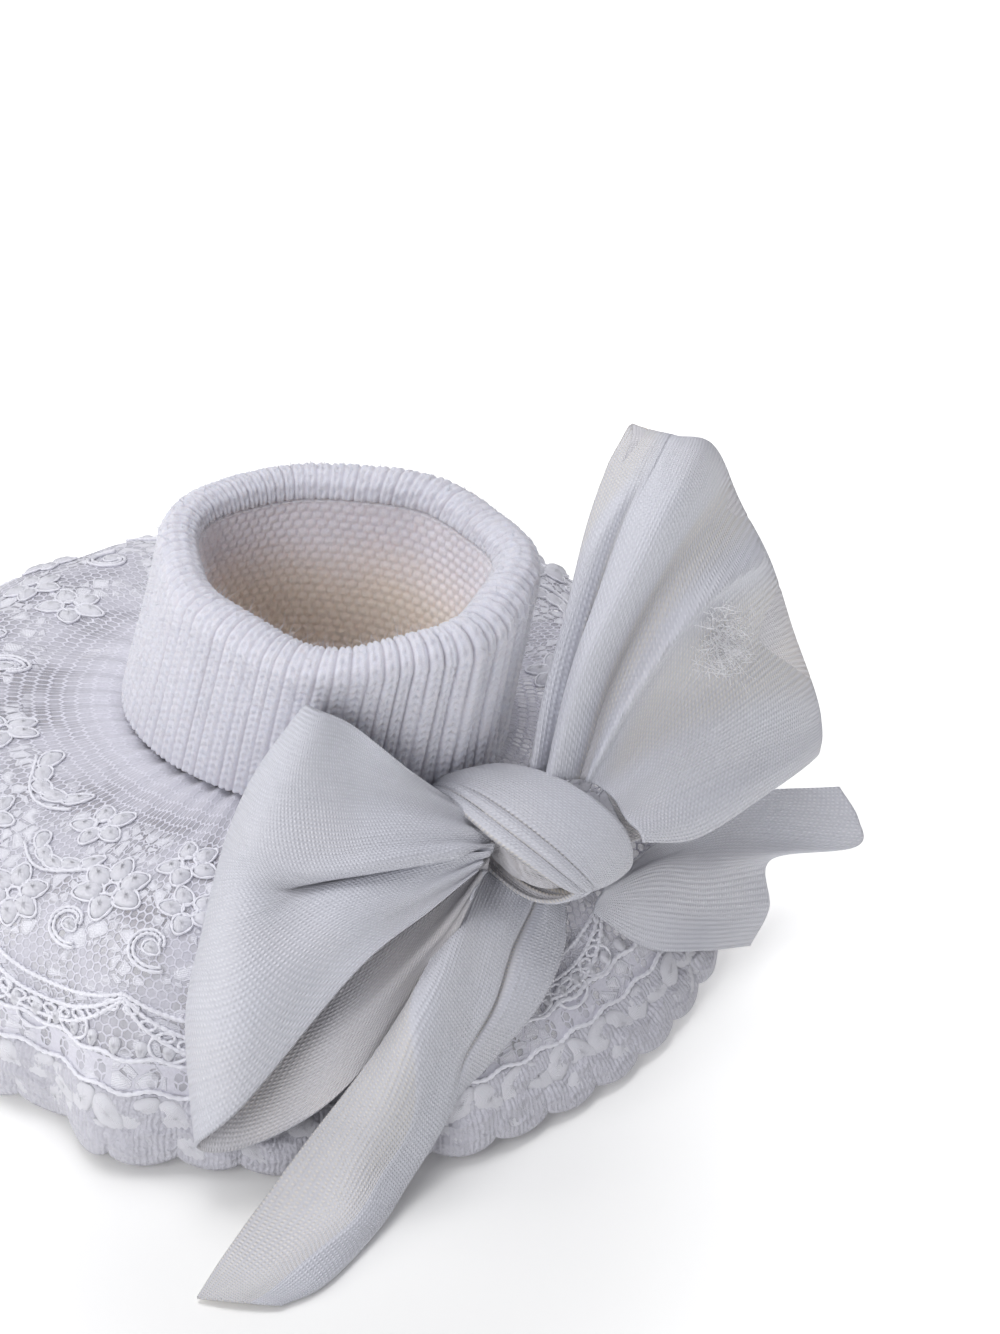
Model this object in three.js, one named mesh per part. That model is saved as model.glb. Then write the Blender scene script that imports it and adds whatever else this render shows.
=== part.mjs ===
// A newborn's knitted bootie: a sock foot with a turned-down ribbed cuff, a gathered lace skirt
// sewn round the ankle that hides the foot, and a wide satin ribbon bow tied at the heel.
//
// Millimetres, +Z up. The origin is the ankle's axis on the ground, under the sole. The toe
// points to -Y and the heel to +Y. Angles run about +Z from +X, so the heel is at 90 degrees.
// Every piece is cloth, so each is a sheet of its own thickness, made by sheetSolid.
import * as THREE from 'three';
import { ParametricGeometry } from 'three/addons/geometries/ParametricGeometry.js';
import { mergeVertices } from 'three/addons/utils/BufferGeometryUtils.js';

// ---- Driving dimensions -----------------------------------------------------------------

const fitGap = 0.3;            // left between two cloths that lie on each other

// Foot
const soleLength = 88;
const soleHeel = 28;           // how far the sole reaches behind the ankle's axis
const soleToeWidth = 36;
const soleHeelWidth = 29;
const soleThick = 2.2;
const footKnit = 1.6;          // thickness of the knitted foot
const ankleHeight = 23.5;      // where the foot ends and the ankle tube begins
const toeCapShare = 0.42;      // share of the instep's line that the toe cap takes at its middle
const toeCapSpread = 48;       // degrees each side of the toe that the cap reaches
const heelSpread = 50;         // degrees each side of the heel that the heel pocket reaches

// Ankle tube and cuff
const ankleLong = 19.4;        // half of the tube's length at its foot, to the middle of its cloth
const ankleWide = 14.6;
const rimHeight = 54.6;        // top of the rolled rim
const rimLong = 19.2;          // half of the inner layer's length at the rim
const rimWide = 14.9;
const rimLean = 5.5;           // how far the rim leans back towards the heel
const rimShift = -2.2;         // how far the rim leans to the side
const foldRadius = 2.1;        // radius of the cuff's roll, to the middle of its cloth
const cuffFoot = 30.2;         // height of the turned cuff's lower edge
const cuffFlare = 0.6;         // how far that edge stands wider than the rim
const elasticThick = 1.0;
const elasticTall = 6;

// Lace
const tapeThick = 1.2;
const tapeTall = 3.6;
const laceThick = 0.9;
const laceTop = 28.2;          // height at which the lace leaves its tape
const laceReach = 54;          // radius of the hem
const laceToeReach = 14;       // how much further the hem reaches over the toe
const lacePuff = 5;            // how much higher its shoulder stands at its fullest
const puffAngle = 165;         // where it stands fullest, and over what spread, in degrees
const puffSpread = 38;
const pressAngle = 72;         // where the bow presses the lace down, and over what spread
const pressSpread = 30;
const endSeamAngle = 200;      // where the lace's two ends meet
const borderShare = 0.84;      // where along the lace the scalloped border begins
const borderThick = 1.1;
const scallops = 24;
const scallopRise = 1.6;
const gathers = 14;
const gatherSwing = 1.2;       // sideways swing of the gathers at the hem
const threadRadius = 0.4;

// Bow
const bowAngle = 75;           // where the bow sits round the ankle
const bowShare = 0.3;          // and how far out on the lace
const bowTurn = 10;            // how far its axis turns out from the skirt's tangent
const ribbonThick = 0.9;
const knotLong = 22;           // outer size of the knot, away from the ankle
const knotTall = 10;
const knotWide = 13;
const knotLift = 7.8;          // height of the knot's middle over the lace
const knotDip = 22;            // degrees by which the knot's outer end dips
const loopGap = 4.6;           // between a loop's two layers near its fold
const rootGap = 1.6;           // between them at the knot
const tailLift = 1.5;          // how far the tails lie over the lace

// ---- Small helpers ----------------------------------------------------------------------

const rad = THREE.MathUtils.degToRad;
const mix = THREE.MathUtils.lerp;
const point = (x, y, z) => new THREE.Vector3(x, y, z);

// Radius, in the direction of an angle, of an ellipse whose half sizes are wide (X) and long (Y).
function ellipseReach(wide, long, angle) {
  return 1 / Math.hypot(Math.cos(angle) / wide, Math.sin(angle) / long);
}

// Point of a cubic curve through the first and last of four [reach, height] pairs.
function profilePoint(pairs, t) {
  const [a, b, c, d] = pairs.map(([reach, height]) => new THREE.Vector2(reach, height));
  return new THREE.CubicBezierCurve(a, b, c, d).getPoint(t);
}

// Unit normal of a surface, from its slopes along both parameters.
function surfaceNormal(surface, u, v) {
  const step = 1e-3;
  const along = surface(u + step, v).sub(surface(u - step, v));
  const across = surface(u, v + step).sub(surface(u, v - step));
  return along.cross(across).normalize();
}

// A geometry with its shared vertices merged and its collapsed triangles dropped, facing out.
function closeGeometry(raw) {
  raw.deleteAttribute('normal');
  raw.deleteAttribute('uv');
  const merged = mergeVertices(raw, 1e-4);
  const position = merged.attributes.position;
  const kept = [];
  let volume = 0;
  const corners = [point(0, 0, 0), point(0, 0, 0), point(0, 0, 0)];
  for (let i = 0; i < merged.index.count; i += 3) {
    const ids = [0, 1, 2].map((k) => merged.index.getX(i + k));
    if (new Set(ids).size < 3) continue;
    ids.forEach((id, k) => corners[k].fromBufferAttribute(position, id));
    volume += corners[0].dot(corners[1].clone().cross(corners[2]));
    kept.push(ids);
  }
  merged.setIndex(kept.flatMap(([a, b, c]) => (volume < 0 ? [a, c, b] : [a, b, c])));
  merged.computeVertexNormals();
  return merged;
}

// A sheet of cloth as a closed solid. surface(u, v) gives its middle for u and v from 0 to 1,
// and half the thickness is laid off on each side along the surface's normal. A ring joins its
// end at u = 1 to its start at u = 0, and an open sheet is closed across both ends.
function sheetSolid(surface, { thick, along, across, ring = false }) {
  const sides = 2 * (across + 1);
  const rows = ring ? along : along + 2;
  const cloth = (s, t, target) => {
    const k = Math.round(s * sides) % sides;
    const back = k > across;
    const v = (back ? sides - 1 - k : k) / across;
    const row = Math.round(t * rows);
    const capped = !ring && (row === 0 || row === rows);
    const u = ring ? (row % rows) / rows : THREE.MathUtils.clamp((row - 1) / along, 0, 1);
    target.copy(surface(u, v));
    if (capped) return;
    target.addScaledVector(surfaceNormal(surface, u, v), (back ? -0.5 : 0.5) * thick);
  };
  return closeGeometry(new ParametricGeometry(cloth, sides, rows));
}

const group = new THREE.Group();

// Adds one piece to the bootie under its own name.
function addPiece(name, geometry, color, roughness) {
  const material = new THREE.MeshStandardMaterial({ color, roughness, metalness: 0 });
  const mesh = new THREE.Mesh(geometry, material);
  mesh.name = name;
  group.add(mesh);
  return mesh;
}

const knit = ['#e6e3ec', 0.95];
const lace = ['#e9e6ee', 0.85];
const satin = ['#dfe2ea', 0.45];
const thread = ['#f1eff4', 0.7];

// ---- Foot -------------------------------------------------------------------------------

// Reach of the sole's outline: a row of circles from the heel's to the toe's, seen from the axis.
function soleReach(angle) {
  const heelRadius = soleHeelWidth / 2;
  const toeRadius = soleToeWidth / 2;
  const heelPlace = soleHeel - heelRadius;
  const toePlace = soleHeel - soleLength + toeRadius;
  const circles = 40;
  let reach = 0;
  for (let i = 0; i <= circles; i += 1) {
    const place = mix(heelPlace, toePlace, i / circles);
    const radius = mix(heelRadius, toeRadius, i / circles);
    const inside = radius ** 2 - (place * Math.cos(angle)) ** 2;
    if (inside > 0) reach = Math.max(reach, place * Math.sin(angle) + Math.sqrt(inside));
  }
  return reach;
}

// Middle of the knitted foot: from the ankle (share 0) over the instep down to the sole (share 1).
function footPoint(angle, share) {
  const top = ellipseReach(ankleWide, ankleLong, angle);
  const edge = soleReach(angle) - footKnit / 2;
  const shoulder = THREE.MathUtils.clamp((edge - top) / top, 0, 1);
  const pairs = [
    [top, ankleHeight],
    [mix(top, edge, 0.55), ankleHeight - mix(6, 1.5, shoulder)],
    [edge + 1.5, ankleHeight * 0.55],
    [edge, soleThick + fitGap],
  ];
  const { x: reach, y: height } = profilePoint(pairs, share);
  return point(reach * Math.cos(angle), reach * Math.sin(angle), height);
}

// Share of the foot's line at which the instep ends and the toe cap begins.
function toeLine(angle) {
  const turn = (angle + Math.PI / 2) / rad(toeCapSpread + 2);
  return Math.abs(turn) < 1 ? 1 - toeCapShare * Math.cos(turn * Math.PI / 2) : 1;
}

function addFoot() {
  const outline = new THREE.Shape();
  const corners = 72;
  for (let i = 0; i < corners; i += 1) {
    const angle = i / corners * 2 * Math.PI;
    const reach = soleReach(angle);
    if (i === 0) outline.moveTo(reach, 0);
    else outline.lineTo(reach * Math.cos(angle), reach * Math.sin(angle));
  }
  const sole = new THREE.ExtrudeGeometry(outline, { depth: soleThick, bevelEnabled: false });
  addPiece('sole', closeGeometry(sole), ...knit);

  const slit = rad(0.5);       // half of the angle left open at each gore line
  const instepStart = rad(90 + heelSpread) + slit;
  const instepEnd = rad(450 - heelSpread) - slit;
  const instep = (u, v) => {
    const angle = mix(instepStart, instepEnd, u);
    return footPoint(angle, v * toeLine(angle - 2 * Math.PI));
  };
  addPiece('foot_upper', sheetSolid(instep, { thick: footKnit, along: 44, across: 7 }), ...knit);

  const heel = (u, v) => footPoint(rad(90) + mix(-1, 1, u) * (rad(heelSpread) - slit), v);
  addPiece('heel_pocket', sheetSolid(heel, { thick: footKnit, along: 16, across: 8 }), ...knit);

  const capStart = 0.018;      // keeps the cap clear of the instep along the toe line
  const toe = (u, v) => {
    const angle = rad(-90 + mix(-toeCapSpread, toeCapSpread, u));
    return footPoint(angle, mix(toeLine(angle) + capStart, 1, v));
  };
  addPiece('toe_cap', sheetSolid(toe, { thick: footKnit, along: 20, across: 6 }), ...knit);

  const seamLift = footKnit / 2 + 2 * fitGap + threadRadius;
  const seamEnd = toeCapSpread - 14;
  const seam = (u, v) => {
    const angle = rad(-90 + mix(-seamEnd, seamEnd, u));
    const share = toeLine(angle) + capStart / 2;
    const surface = (a, b) => footPoint(rad(-90) + a, b);
    const out = surfaceNormal(surface, angle + rad(90), share);
    const side = out.z > 0 ? 1 : -1;
    const width = (v - 0.5) * 4 * threadRadius / soleLength;
    return footPoint(angle, share + width).addScaledVector(out, side * seamLift);
  };
  const seamCloth = { thick: 2 * threadRadius, along: 40, across: 1 };
  addPiece('toe_seam', sheetSolid(seam, seamCloth), ...thread);
}

// ---- Ankle tube and cuff ----------------------------------------------------------------

// Middle of the inner layer at a height: an ellipse that narrows and leans as it rises. The
// part above wide (in mm) stands that much outside it.
function ankleRing(angle, height, outside = 0) {
  const rise = (height - ankleHeight) / (rimHeight - ankleHeight);
  const wide = mix(ankleWide, rimWide, rise) + outside;
  const long = mix(ankleLong, rimLong, rise) + outside;
  return point(
    rimShift * rise + wide * Math.cos(angle),
    rimLean * rise + long * Math.sin(angle),
    height,
  );
}

const rollTop = rimHeight - footKnit / 2 - foldRadius;   // height of the roll's centre

// How far the cuff's outer layer stands outside the inner layer's middle at a height.
function cuffOutside(height) {
  return 2 * foldRadius + cuffFlare * (rollTop - height) / (rollTop - cuffFoot);
}

function addAnkle() {
  const tubeFoot = ankleHeight + footKnit / 2 + fitGap;
  const tubeTop = rollTop - fitGap;
  const tube = (u, v) => ankleRing(u * 2 * Math.PI, mix(tubeFoot, tubeTop, v));
  const cloth = { thick: footKnit, along: 48, across: 3, ring: true };
  addPiece('ankle_tube', sheetSolid(tube, cloth), ...knit);

  // The cuff runs up outside, and past wallShare over the roll to the tube's top.
  const wallShare = 1 / 3;
  const cuff = (u, v) => {
    const angle = u * 2 * Math.PI;
    if (v <= wallShare) {
      const height = mix(cuffFoot, rollTop, v / wallShare);
      return ankleRing(angle, height, cuffOutside(height));
    }
    const turn = (v - wallShare) / (1 - wallShare) * Math.PI;
    const height = rollTop + foldRadius * Math.sin(turn);
    return ankleRing(angle, height, foldRadius * (1 + Math.cos(turn)));
  };
  addPiece('cuff_turnover', sheetSolid(cuff, { ...cloth, across: 9 }), ...knit);

  const elasticTop = rollTop - 1.5;
  const band = (u, v) => ankleRing(u * 2 * Math.PI, elasticTop - v * elasticTall, foldRadius);
  addPiece('cuff_elastic', sheetSolid(band, { ...cloth, thick: elasticThick, across: 1 }), ...thread);
}

// ---- Lace skirt -------------------------------------------------------------------------

const tapeOutside = footKnit / 2 + fitGap + tapeThick / 2;   // tape's middle from the tube's
const laceOutside = tapeOutside + (tapeThick + laceThick) / 2 + 2 * fitGap;   // where the lace begins

// How much the bow presses the lace down at an angle, from 0 to 1.
function pressed(angle) {
  const turn = Math.atan2(Math.sin(angle - rad(pressAngle)), Math.cos(angle - rad(pressAngle)));
  return Math.exp(-((turn / rad(pressSpread)) ** 2));
}

// How full the lace stands at an angle: it puffs up on the side away from the bow.
function puffed(angle) {
  const turn = Math.atan2(Math.sin(angle - rad(puffAngle)), Math.cos(angle - rad(puffAngle)));
  return lacePuff * Math.exp(-((turn / rad(puffSpread)) ** 2));
}

// Middle of the lace: from its tape (share 0) out over the shoulder and down to the hem
// (share 1), lifted square to itself. Under the bow it falls straighter.
function laceRing(angle, share, lift = 0) {
  const rise = (laceTop - ankleHeight) / (rimHeight - ankleHeight);
  const start = ankleRing(angle, laceTop, laceOutside);
  const top = Math.hypot(start.x - rimShift * rise, start.y - rimLean * rise);
  const toeward = Math.max(0, -Math.sin(angle)) ** 4;
  const gather = gatherSwing * Math.cos(gathers * angle);
  const hem = laceReach + laceToeReach * toeward;
  const free = [
    [top, laceTop],
    [mix(top, hem, 0.72), laceTop + 2.3 + puffed(angle)],
    [0.98 * hem, laceTop * 0.85 + puffed(angle)],
    [hem, borderThick],
  ];
  const flat = [
    [top, laceTop],
    [mix(top, hem, 0.3), laceTop * 0.76],
    [mix(top, hem, 0.66), laceTop * 0.5],
    [hem, borderThick],
  ];
  const press = pressed(angle);
  const pairs = free.map(([reach, height], i) => [
    mix(reach, flat[i][0], press),
    mix(height, flat[i][1], press),
  ]);
  const here = profilePoint(pairs, share);
  const ahead = profilePoint(pairs, share + 0.01);
  const behind = profilePoint(pairs, share - 0.01);
  const slope = ahead.sub(behind).normalize();
  const swing = gather * THREE.MathUtils.clamp(share, 0, 1) ** 2 * (1 - press);
  const reach = here.x - slope.y * (lift + swing);
  const height = here.y + slope.x * (lift + swing);
  return point(reach * Math.cos(angle), reach * Math.sin(angle), height);
}

function addLace() {
  const ringCloth = { along: 48, across: 1, ring: true };
  const tapeTop = laceTop + 1;
  const tape = (u, v) => ankleRing(u * 2 * Math.PI, tapeTop - v * tapeTall, tapeOutside);
  addPiece('lace_heading', sheetSolid(tape, { ...ringCloth, thick: tapeThick }), ...lace);

  const stitchHeight = laceTop - laceThick / 2 - fitGap - 1;
  const stitchOutside = tapeOutside + tapeThick / 2 + fitGap + threadRadius;
  const stitch = (u, v) => {
    const height = stitchHeight - v * 2 * threadRadius;
    return ankleRing(u * 2 * Math.PI, height, stitchOutside);
  };
  const stitchCloth = { ...ringCloth, thick: 2 * threadRadius };
  addPiece('gather_stitch', sheetSolid(stitch, stitchCloth), ...thread);

  const netEnd = borderShare - 0.012;
  const net = (u, v) => laceRing(u * 2 * Math.PI, v * netEnd);
  const netCloth = { thick: laceThick, along: 84, across: 6, ring: true };
  addPiece('lace_ruffle', sheetSolid(net, netCloth), ...lace);

  const border = (u, v) => {
    const angle = u * 2 * Math.PI;
    const place = laceRing(angle, mix(borderShare, 1, v));
    const rise = scallopRise * Math.abs(Math.sin(scallops / 2 * angle)) ** 3;
    place.z += v * (rise - borderThick / 2);
    return place;
  };
  const borderCloth = { thick: borderThick, along: 96, across: 2, ring: true };
  addPiece('scalloped_border', sheetSolid(border, borderCloth), ...lace);

  const seamAngle = rad(endSeamAngle);
  const seamLift = laceThick / 2 + fitGap + threadRadius;
  const seam = (u, v) => {
    const turn = (v - 0.5) * 2 * threadRadius / laceReach;
    return laceRing(seamAngle + 2 * turn, mix(0.06, netEnd, u), seamLift);
  };
  const seamCloth = { thick: 2 * threadRadius, along: 12, across: 1 };
  addPiece('lace_end_seam', sheetSolid(seam, seamCloth), ...thread);
}

// ---- Bow --------------------------------------------------------------------------------

// The bow's own directions at its knot: along runs from the left loop to the right one, out
// runs away from the ankle and dips with the lace, and up stands square to both.
const knotPlace = laceRing(rad(bowAngle), bowShare, knotLift);
const bowAlong = point(-Math.sin(rad(bowAngle - bowTurn)), Math.cos(rad(bowAngle - bowTurn)), 0);
const bowLevel = point(Math.cos(rad(bowAngle - bowTurn)), Math.sin(rad(bowAngle - bowTurn)), 0);
const bowOut = bowLevel.clone().multiplyScalar(Math.cos(rad(knotDip)));
bowOut.z = -Math.sin(rad(knotDip));
const bowUp = bowOut.clone().cross(bowAlong).normalize();
if (bowUp.z < 0) bowUp.negate();

// Point of the knot's frame: distances along, out and up from its middle.
function knotPoint(along, out, up) {
  return knotPlace.clone()
    .addScaledVector(bowAlong, along)
    .addScaledVector(bowOut, out)
    .addScaledVector(bowUp, up);
}

// A smooth line through points, as a function of its share from 0 to 1.
function lineOf(points) {
  const curve = new THREE.CatmullRomCurve3(points);
  return (share) => curve.getPoint(THREE.MathUtils.clamp(share, 0, 1));
}

function addKnot() {
  const bandLong = (knotLong - ribbonThick) / 2;
  const bandTall = (knotTall - ribbonThick) / 2;
  const band = (u, v) => {
    const turn = u * 2 * Math.PI;
    const waist = 1 - 0.06 * Math.sin(v * Math.PI);
    const out = bandLong * waist * Math.cos(turn);
    return knotPoint((v - 0.5) * knotWide, out, bandTall * waist * Math.sin(turn));
  };
  const bandCloth = { thick: ribbonThick, along: 28, across: 3, ring: true };
  addPiece('bow_knot_band', sheetSolid(band, bandCloth), ...satin);

  const clear = ribbonThick / 2 + fitGap;
  const size = point(knotWide / 2, 0.92 * bandLong - clear, 0.92 * bandTall - clear);
  const pinch = new THREE.SphereGeometry(1, 18, 10);
  const frame = new THREE.Matrix4().makeBasis(bowAlong, bowOut, bowUp).setPosition(knotPlace);
  pinch.scale(size.x, size.y, size.z);
  addPiece('bow_pinch', closeGeometry(pinch.applyMatrix4(frame)), ...satin);

  const floor = -(knotTall / 2 + fitGap);
  for (const [name, out] of [['tack_stitch_inner', -4], ['tack_stitch_outer', 1.5]]) {
    const top = knotPoint(0, out, floor + knotTall / 2 * (1 - Math.sqrt(1 - (out / bandLong) ** 2)));
    const angle = Math.atan2(top.y, top.x);
    let share = bowShare;
    for (let i = 0; i < 30; i += 1) {
      const place = laceRing(angle, share);
      share += (Math.hypot(top.x, top.y) - Math.hypot(place.x, place.y)) / (2 * laceReach);
    }
    const foot = laceRing(angle, share, laceThick / 2 + 2 * fitGap);
    const bar = new THREE.CylinderGeometry(threadRadius, threadRadius, top.distanceTo(foot), 8);
    const up = top.clone().sub(foot).normalize();
    bar.applyQuaternion(new THREE.Quaternion().setFromUnitVectors(point(0, 1, 0), up));
    bar.translate(...top.clone().add(foot).multiplyScalar(0.5).toArray());
    addPiece(name, closeGeometry(bar), ...thread);
  }
}

// Point that lies beyond the lace's hem, at an angle in degrees and a height.
function hemPoint(angle, beyond, height = ribbonThick) {
  const reach = laceReach + beyond;
  return point(reach * Math.cos(rad(angle)), reach * Math.sin(rad(angle)), height);
}

// A ribbon loop: two layers that follow lines across the ribbon, from the knot to its fold,
// and join in a round fold at the last line. They lie rootGap apart at the knot.
function loopSolid(lines) {
  const middle = (s, w) => lineOf(lines.map((line) => line(w)))(s);
  const layers = (u, v) => {
    const turn = u * Math.PI;
    const place = middle(Math.sin(turn), v);
    const out = surfaceNormal(middle, Math.sin(turn), v);
    const gap = mix(rootGap, loopGap, Math.sin(turn));
    return place.addScaledVector(out, Math.cos(turn) * gap / 2);
  };
  return sheetSolid(layers, { thick: ribbonThick, along: 16, across: 10 });
}

const rootPlace = knotWide / 2 + ribbonThick / 2 + 2 * fitGap;

function addLoops() {
  const overLace = loopGap / 2 + ribbonThick / 2 + 1.2;
  const leftRoot = lineOf([knotPoint(-rootPlace, -8.5, 1.8), knotPoint(-rootPlace, 6, 0.8)]);
  const cuffCorner = ankleRing(rad(12), laceTop + 20, cuffOutside(laceTop + 20) + 7.5);
  const leftEnd = lineOf([
    cuffCorner,
    laceRing(rad(12), 0.2, overLace + 2.5),
    laceRing(rad(11), 0.48, overLace),
    laceRing(rad(11), 0.72, overLace),
    laceRing(rad(12), 0.9, overLace),
  ]);
  const leftMiddle = lineOf([
    ankleRing(rad(40), laceTop + 12, cuffOutside(laceTop + 12) + 5.5),
    laceRing(rad(38), 0.22, overLace + 2.5),
    laceRing(rad(38), 0.38, overLace),
    laceRing(rad(42), 0.5, overLace),
  ]);
  const leftShoulder = lineOf([
    ankleRing(rad(26), laceTop + 16, cuffOutside(laceTop + 16) + 6.5),
    laceRing(rad(25), 0.21, overLace + 2.5),
    laceRing(rad(24), 0.45, overLace),
    laceRing(rad(27), 0.72, overLace),
  ]);
  const leftLines = [leftRoot, leftMiddle, leftShoulder, leftEnd];
  addPiece('bow_loop_left', loopSolid(leftLines), ...satin);

  const rightPlace = rootPlace + fitGap;
  const rightRoot = lineOf([knotPoint(rightPlace, -8.5, 3), knotPoint(rightPlace, 8, 1.5)]);
  const rightEnd = lineOf([
    knotPlace.clone().add(point(-27.5, 4.5, 43)),
    knotPlace.clone().add(point(-30.5, 10, 40.5)),
    hemPoint(115.1, 5.4, 46.2),
    hemPoint(116, 9.2, 24.2),
  ]);
  addPiece('bow_loop_right', loopSolid([rightRoot, rightEnd]), ...satin);
}

function addTails() {
  const lift = laceThick / 2 + ribbonThick / 2 + tailLift;
  // Each row is one line across the tail: its left and its right edge.
  const longRows = [
    [laceRing(rad(66), 0.36, lift - 1.2), laceRing(rad(79), 0.56, lift - 1.2)],
    [laceRing(rad(52), 0.47, lift), laceRing(rad(66), 0.62, lift)],
    [laceRing(rad(38), 0.66, lift), laceRing(rad(52), 0.78, lift)],
    [laceRing(rad(29), 0.86, lift), laceRing(rad(42), 0.91, lift)],
  ];
  longRows.push([hemPoint(21, 5.5), hemPoint(33, 7.5)]);
  longRows.push([hemPoint(18, 12), hemPoint(30, 12.5)]);
  longRows.push([hemPoint(15.3, 20.5), hemPoint(27, 19)]);
  const longEdges = [0, 1].map((side) => lineOf(longRows.map((row) => row[side])));
  const longTail = (u, v) => longEdges[0](u).lerp(longEdges[1](u), v);
  const tailCloth = { thick: ribbonThick, along: 24, across: 3 };
  addPiece('bow_tail_long', sheetSolid(longTail, tailCloth), ...satin);

  const backPlace = knotWide / 2 + fitGap;
  const backRows = [
    [knotPoint(backPlace, 3, -3.4), knotPoint(backPlace, 10, -3.4)],
    [laceRing(rad(106), 0.5, lift + 3), laceRing(rad(92), 0.78, lift + 1)],
    [laceRing(rad(116), 0.62, lift + 5.5), laceRing(rad(100), 0.86, lift + 2)],
    [hemPoint(113.5, 16.5, 11), hemPoint(105.5, 4.5, 4.5)],
  ];
  const backEdges = [0, 1].map((side) => lineOf(backRows.map((row) => row[side])));
  const backTail = (u, v) => backEdges[0](u).lerp(backEdges[1](u), v);
  addPiece('bow_tail_back', sheetSolid(backTail, tailCloth), ...satin);
}

addFoot();
addAnkle();
addLace();
addKnot();
addLoops();
addTails();

export default group;
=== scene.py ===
"""The looks of a newborn's bootie: ribbed knitted cuff, sock foot, gathered lace skirt and satin bow.

Every piece is a surface worked out on a grid with numpy, in millimetres in the part's own frame,
and is put into its mesh in metres. The toe points to -Y, the heel to +Y, and angles run about +Z.
"""

import math

import bmesh
import bpy
import numpy as np
from bpy.props import FloatProperty, FloatVectorProperty, IntProperty, PointerProperty
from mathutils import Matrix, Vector


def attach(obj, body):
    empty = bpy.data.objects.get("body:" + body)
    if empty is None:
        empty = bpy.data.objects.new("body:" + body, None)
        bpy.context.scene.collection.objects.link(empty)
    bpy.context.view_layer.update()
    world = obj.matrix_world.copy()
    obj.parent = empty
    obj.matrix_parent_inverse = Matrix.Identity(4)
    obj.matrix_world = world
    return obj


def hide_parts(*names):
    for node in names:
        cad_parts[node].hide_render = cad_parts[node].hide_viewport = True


bl_info = {
    "name": "Baby Bootie",
    "version": (1, 0, 0),
    "blender": (4, 5, 0),
    "location": "View3D > Sidebar > Bootie",
    "description": "Makes a knitted bootie with a lace skirt and a ribbon bow round its CAD frame",
    "category": "Add Mesh",
}

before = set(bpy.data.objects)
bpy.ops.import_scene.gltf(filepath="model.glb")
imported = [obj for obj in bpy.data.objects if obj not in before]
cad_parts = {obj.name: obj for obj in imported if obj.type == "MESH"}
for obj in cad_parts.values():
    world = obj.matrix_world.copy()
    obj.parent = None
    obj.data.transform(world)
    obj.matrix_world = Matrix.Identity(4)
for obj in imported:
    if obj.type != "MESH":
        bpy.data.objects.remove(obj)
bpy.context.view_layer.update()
MM = 0.001

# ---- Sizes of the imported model, in millimetres ---------------------------------------------

ANKLE_HEIGHT = 23.5
ANKLE_WIDE, ANKLE_LONG = 14.6, 19.4
RIM_HEIGHT = 54.6
RIM_WIDE, RIM_LONG = 14.9, 19.2
RIM_LEAN, RIM_SHIFT = 5.5, -2.2
CUFF_FOOT = 30.2
CUFF_FLARE = 0.6
FOLD_RADIUS = 2.1
KNIT = 1.6
ROLL_TOP = RIM_HEIGHT - KNIT / 2 - FOLD_RADIUS
GAP = 0.3

SOLE_THICK = 2.2
SOLE_BACK, SOLE_LONG = 28.0, 88.0
SOLE_HEEL, SOLE_TOE = 14.5, 18.0        # radii of its two ends
TOE_CAP_SPREAD, HEEL_SPREAD = math.radians(48), math.radians(50)
TOE_CAP_SHARE = 0.42

LACE_TOP = 28.2
LACE_OUTSIDE = 3.05                     # where the lace begins, outside the ankle tube
LACE_REACH, LACE_TOE_REACH = 54.0, 14.0
LACE_PUFF, PUFF_ANGLE, PUFF_SPREAD = 5.0, math.radians(165), math.radians(38)
PRESS_ANGLE, PRESS_SPREAD = math.radians(72), math.radians(30)
LOOP_ANGLE, LOOP_SPREAD = math.radians(30), math.radians(15)    # where the left loop weighs on it
GATHERS, GATHER_SWING = 14, 1.2
BORDER_SHARE = 0.84
BORDER_THICK = 1.1
LACE_DEPTH = 50.0                       # from its heading to its hem, along the cloth
LACE_ROUND = 360.0                      # round its hem
EYELETS = 106                           # in the strip over the border
EYELET_TOP = 38.4                       # depth at which that strip begins

KNOT = np.array([9.33, 34.82, 28.2])    # middle of the bow's knot
BOW_TURN = math.radians(65)             # direction in which the knot points away from the ankle
KNOT_DIP = math.radians(22)             # by which the knot's outer end dips
BOW_ALONG = np.array([-math.sin(BOW_TURN), math.cos(BOW_TURN), 0])
BOW_OUT = np.array([
    math.cos(BOW_TURN) * math.cos(KNOT_DIP), math.sin(BOW_TURN) * math.cos(KNOT_DIP), -math.sin(KNOT_DIP)])
BOW_UP = np.cross(BOW_OUT, BOW_ALONG)
RIBBON_THICK = 0.32

TAU = 2 * math.pi


# ---- Curves and grids ----------------------------------------------------------------------

def mix(a, b, share):
    """a where share is 0, b where it is 1, and in proportion between."""
    return a + (b - a) * share


def ease(low, high, value):
    """0 below low, 1 above high, and 3t2 - 2t3 between."""
    t = np.clip((value - low) / (high - low), 0, 1)
    return t * t * (3 - 2 * t)


def bell(value, middle, width):
    """A hump of height 1: e to the minus square of the distance from the middle over the width."""
    return np.exp(-((value - middle) / width) ** 2)


def turn_from(angle, middle):
    """An angle's distance from the middle one, between minus half a turn and half a turn."""
    return np.arctan2(np.sin(angle - middle), np.cos(angle - middle))


def arch(value):
    """A row of half circles, one for each unit of value, each 1 high."""
    across = 2 * (value % 1) - 1
    return np.sqrt(np.clip(1 - across ** 2, 0, 1))


def wander(seed, *ways):
    """A smooth uneven field between about -1 and 1: five sines with drawn directions and phases."""
    draw = np.random.default_rng(seed)
    field = 0
    for _ in range(5):
        phase = draw.uniform(0, TAU)
        for way in ways:
            phase = phase + way * draw.uniform(-1, 1)
        field = field + np.sin(phase) / 5
    return 1.6 * field


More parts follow.
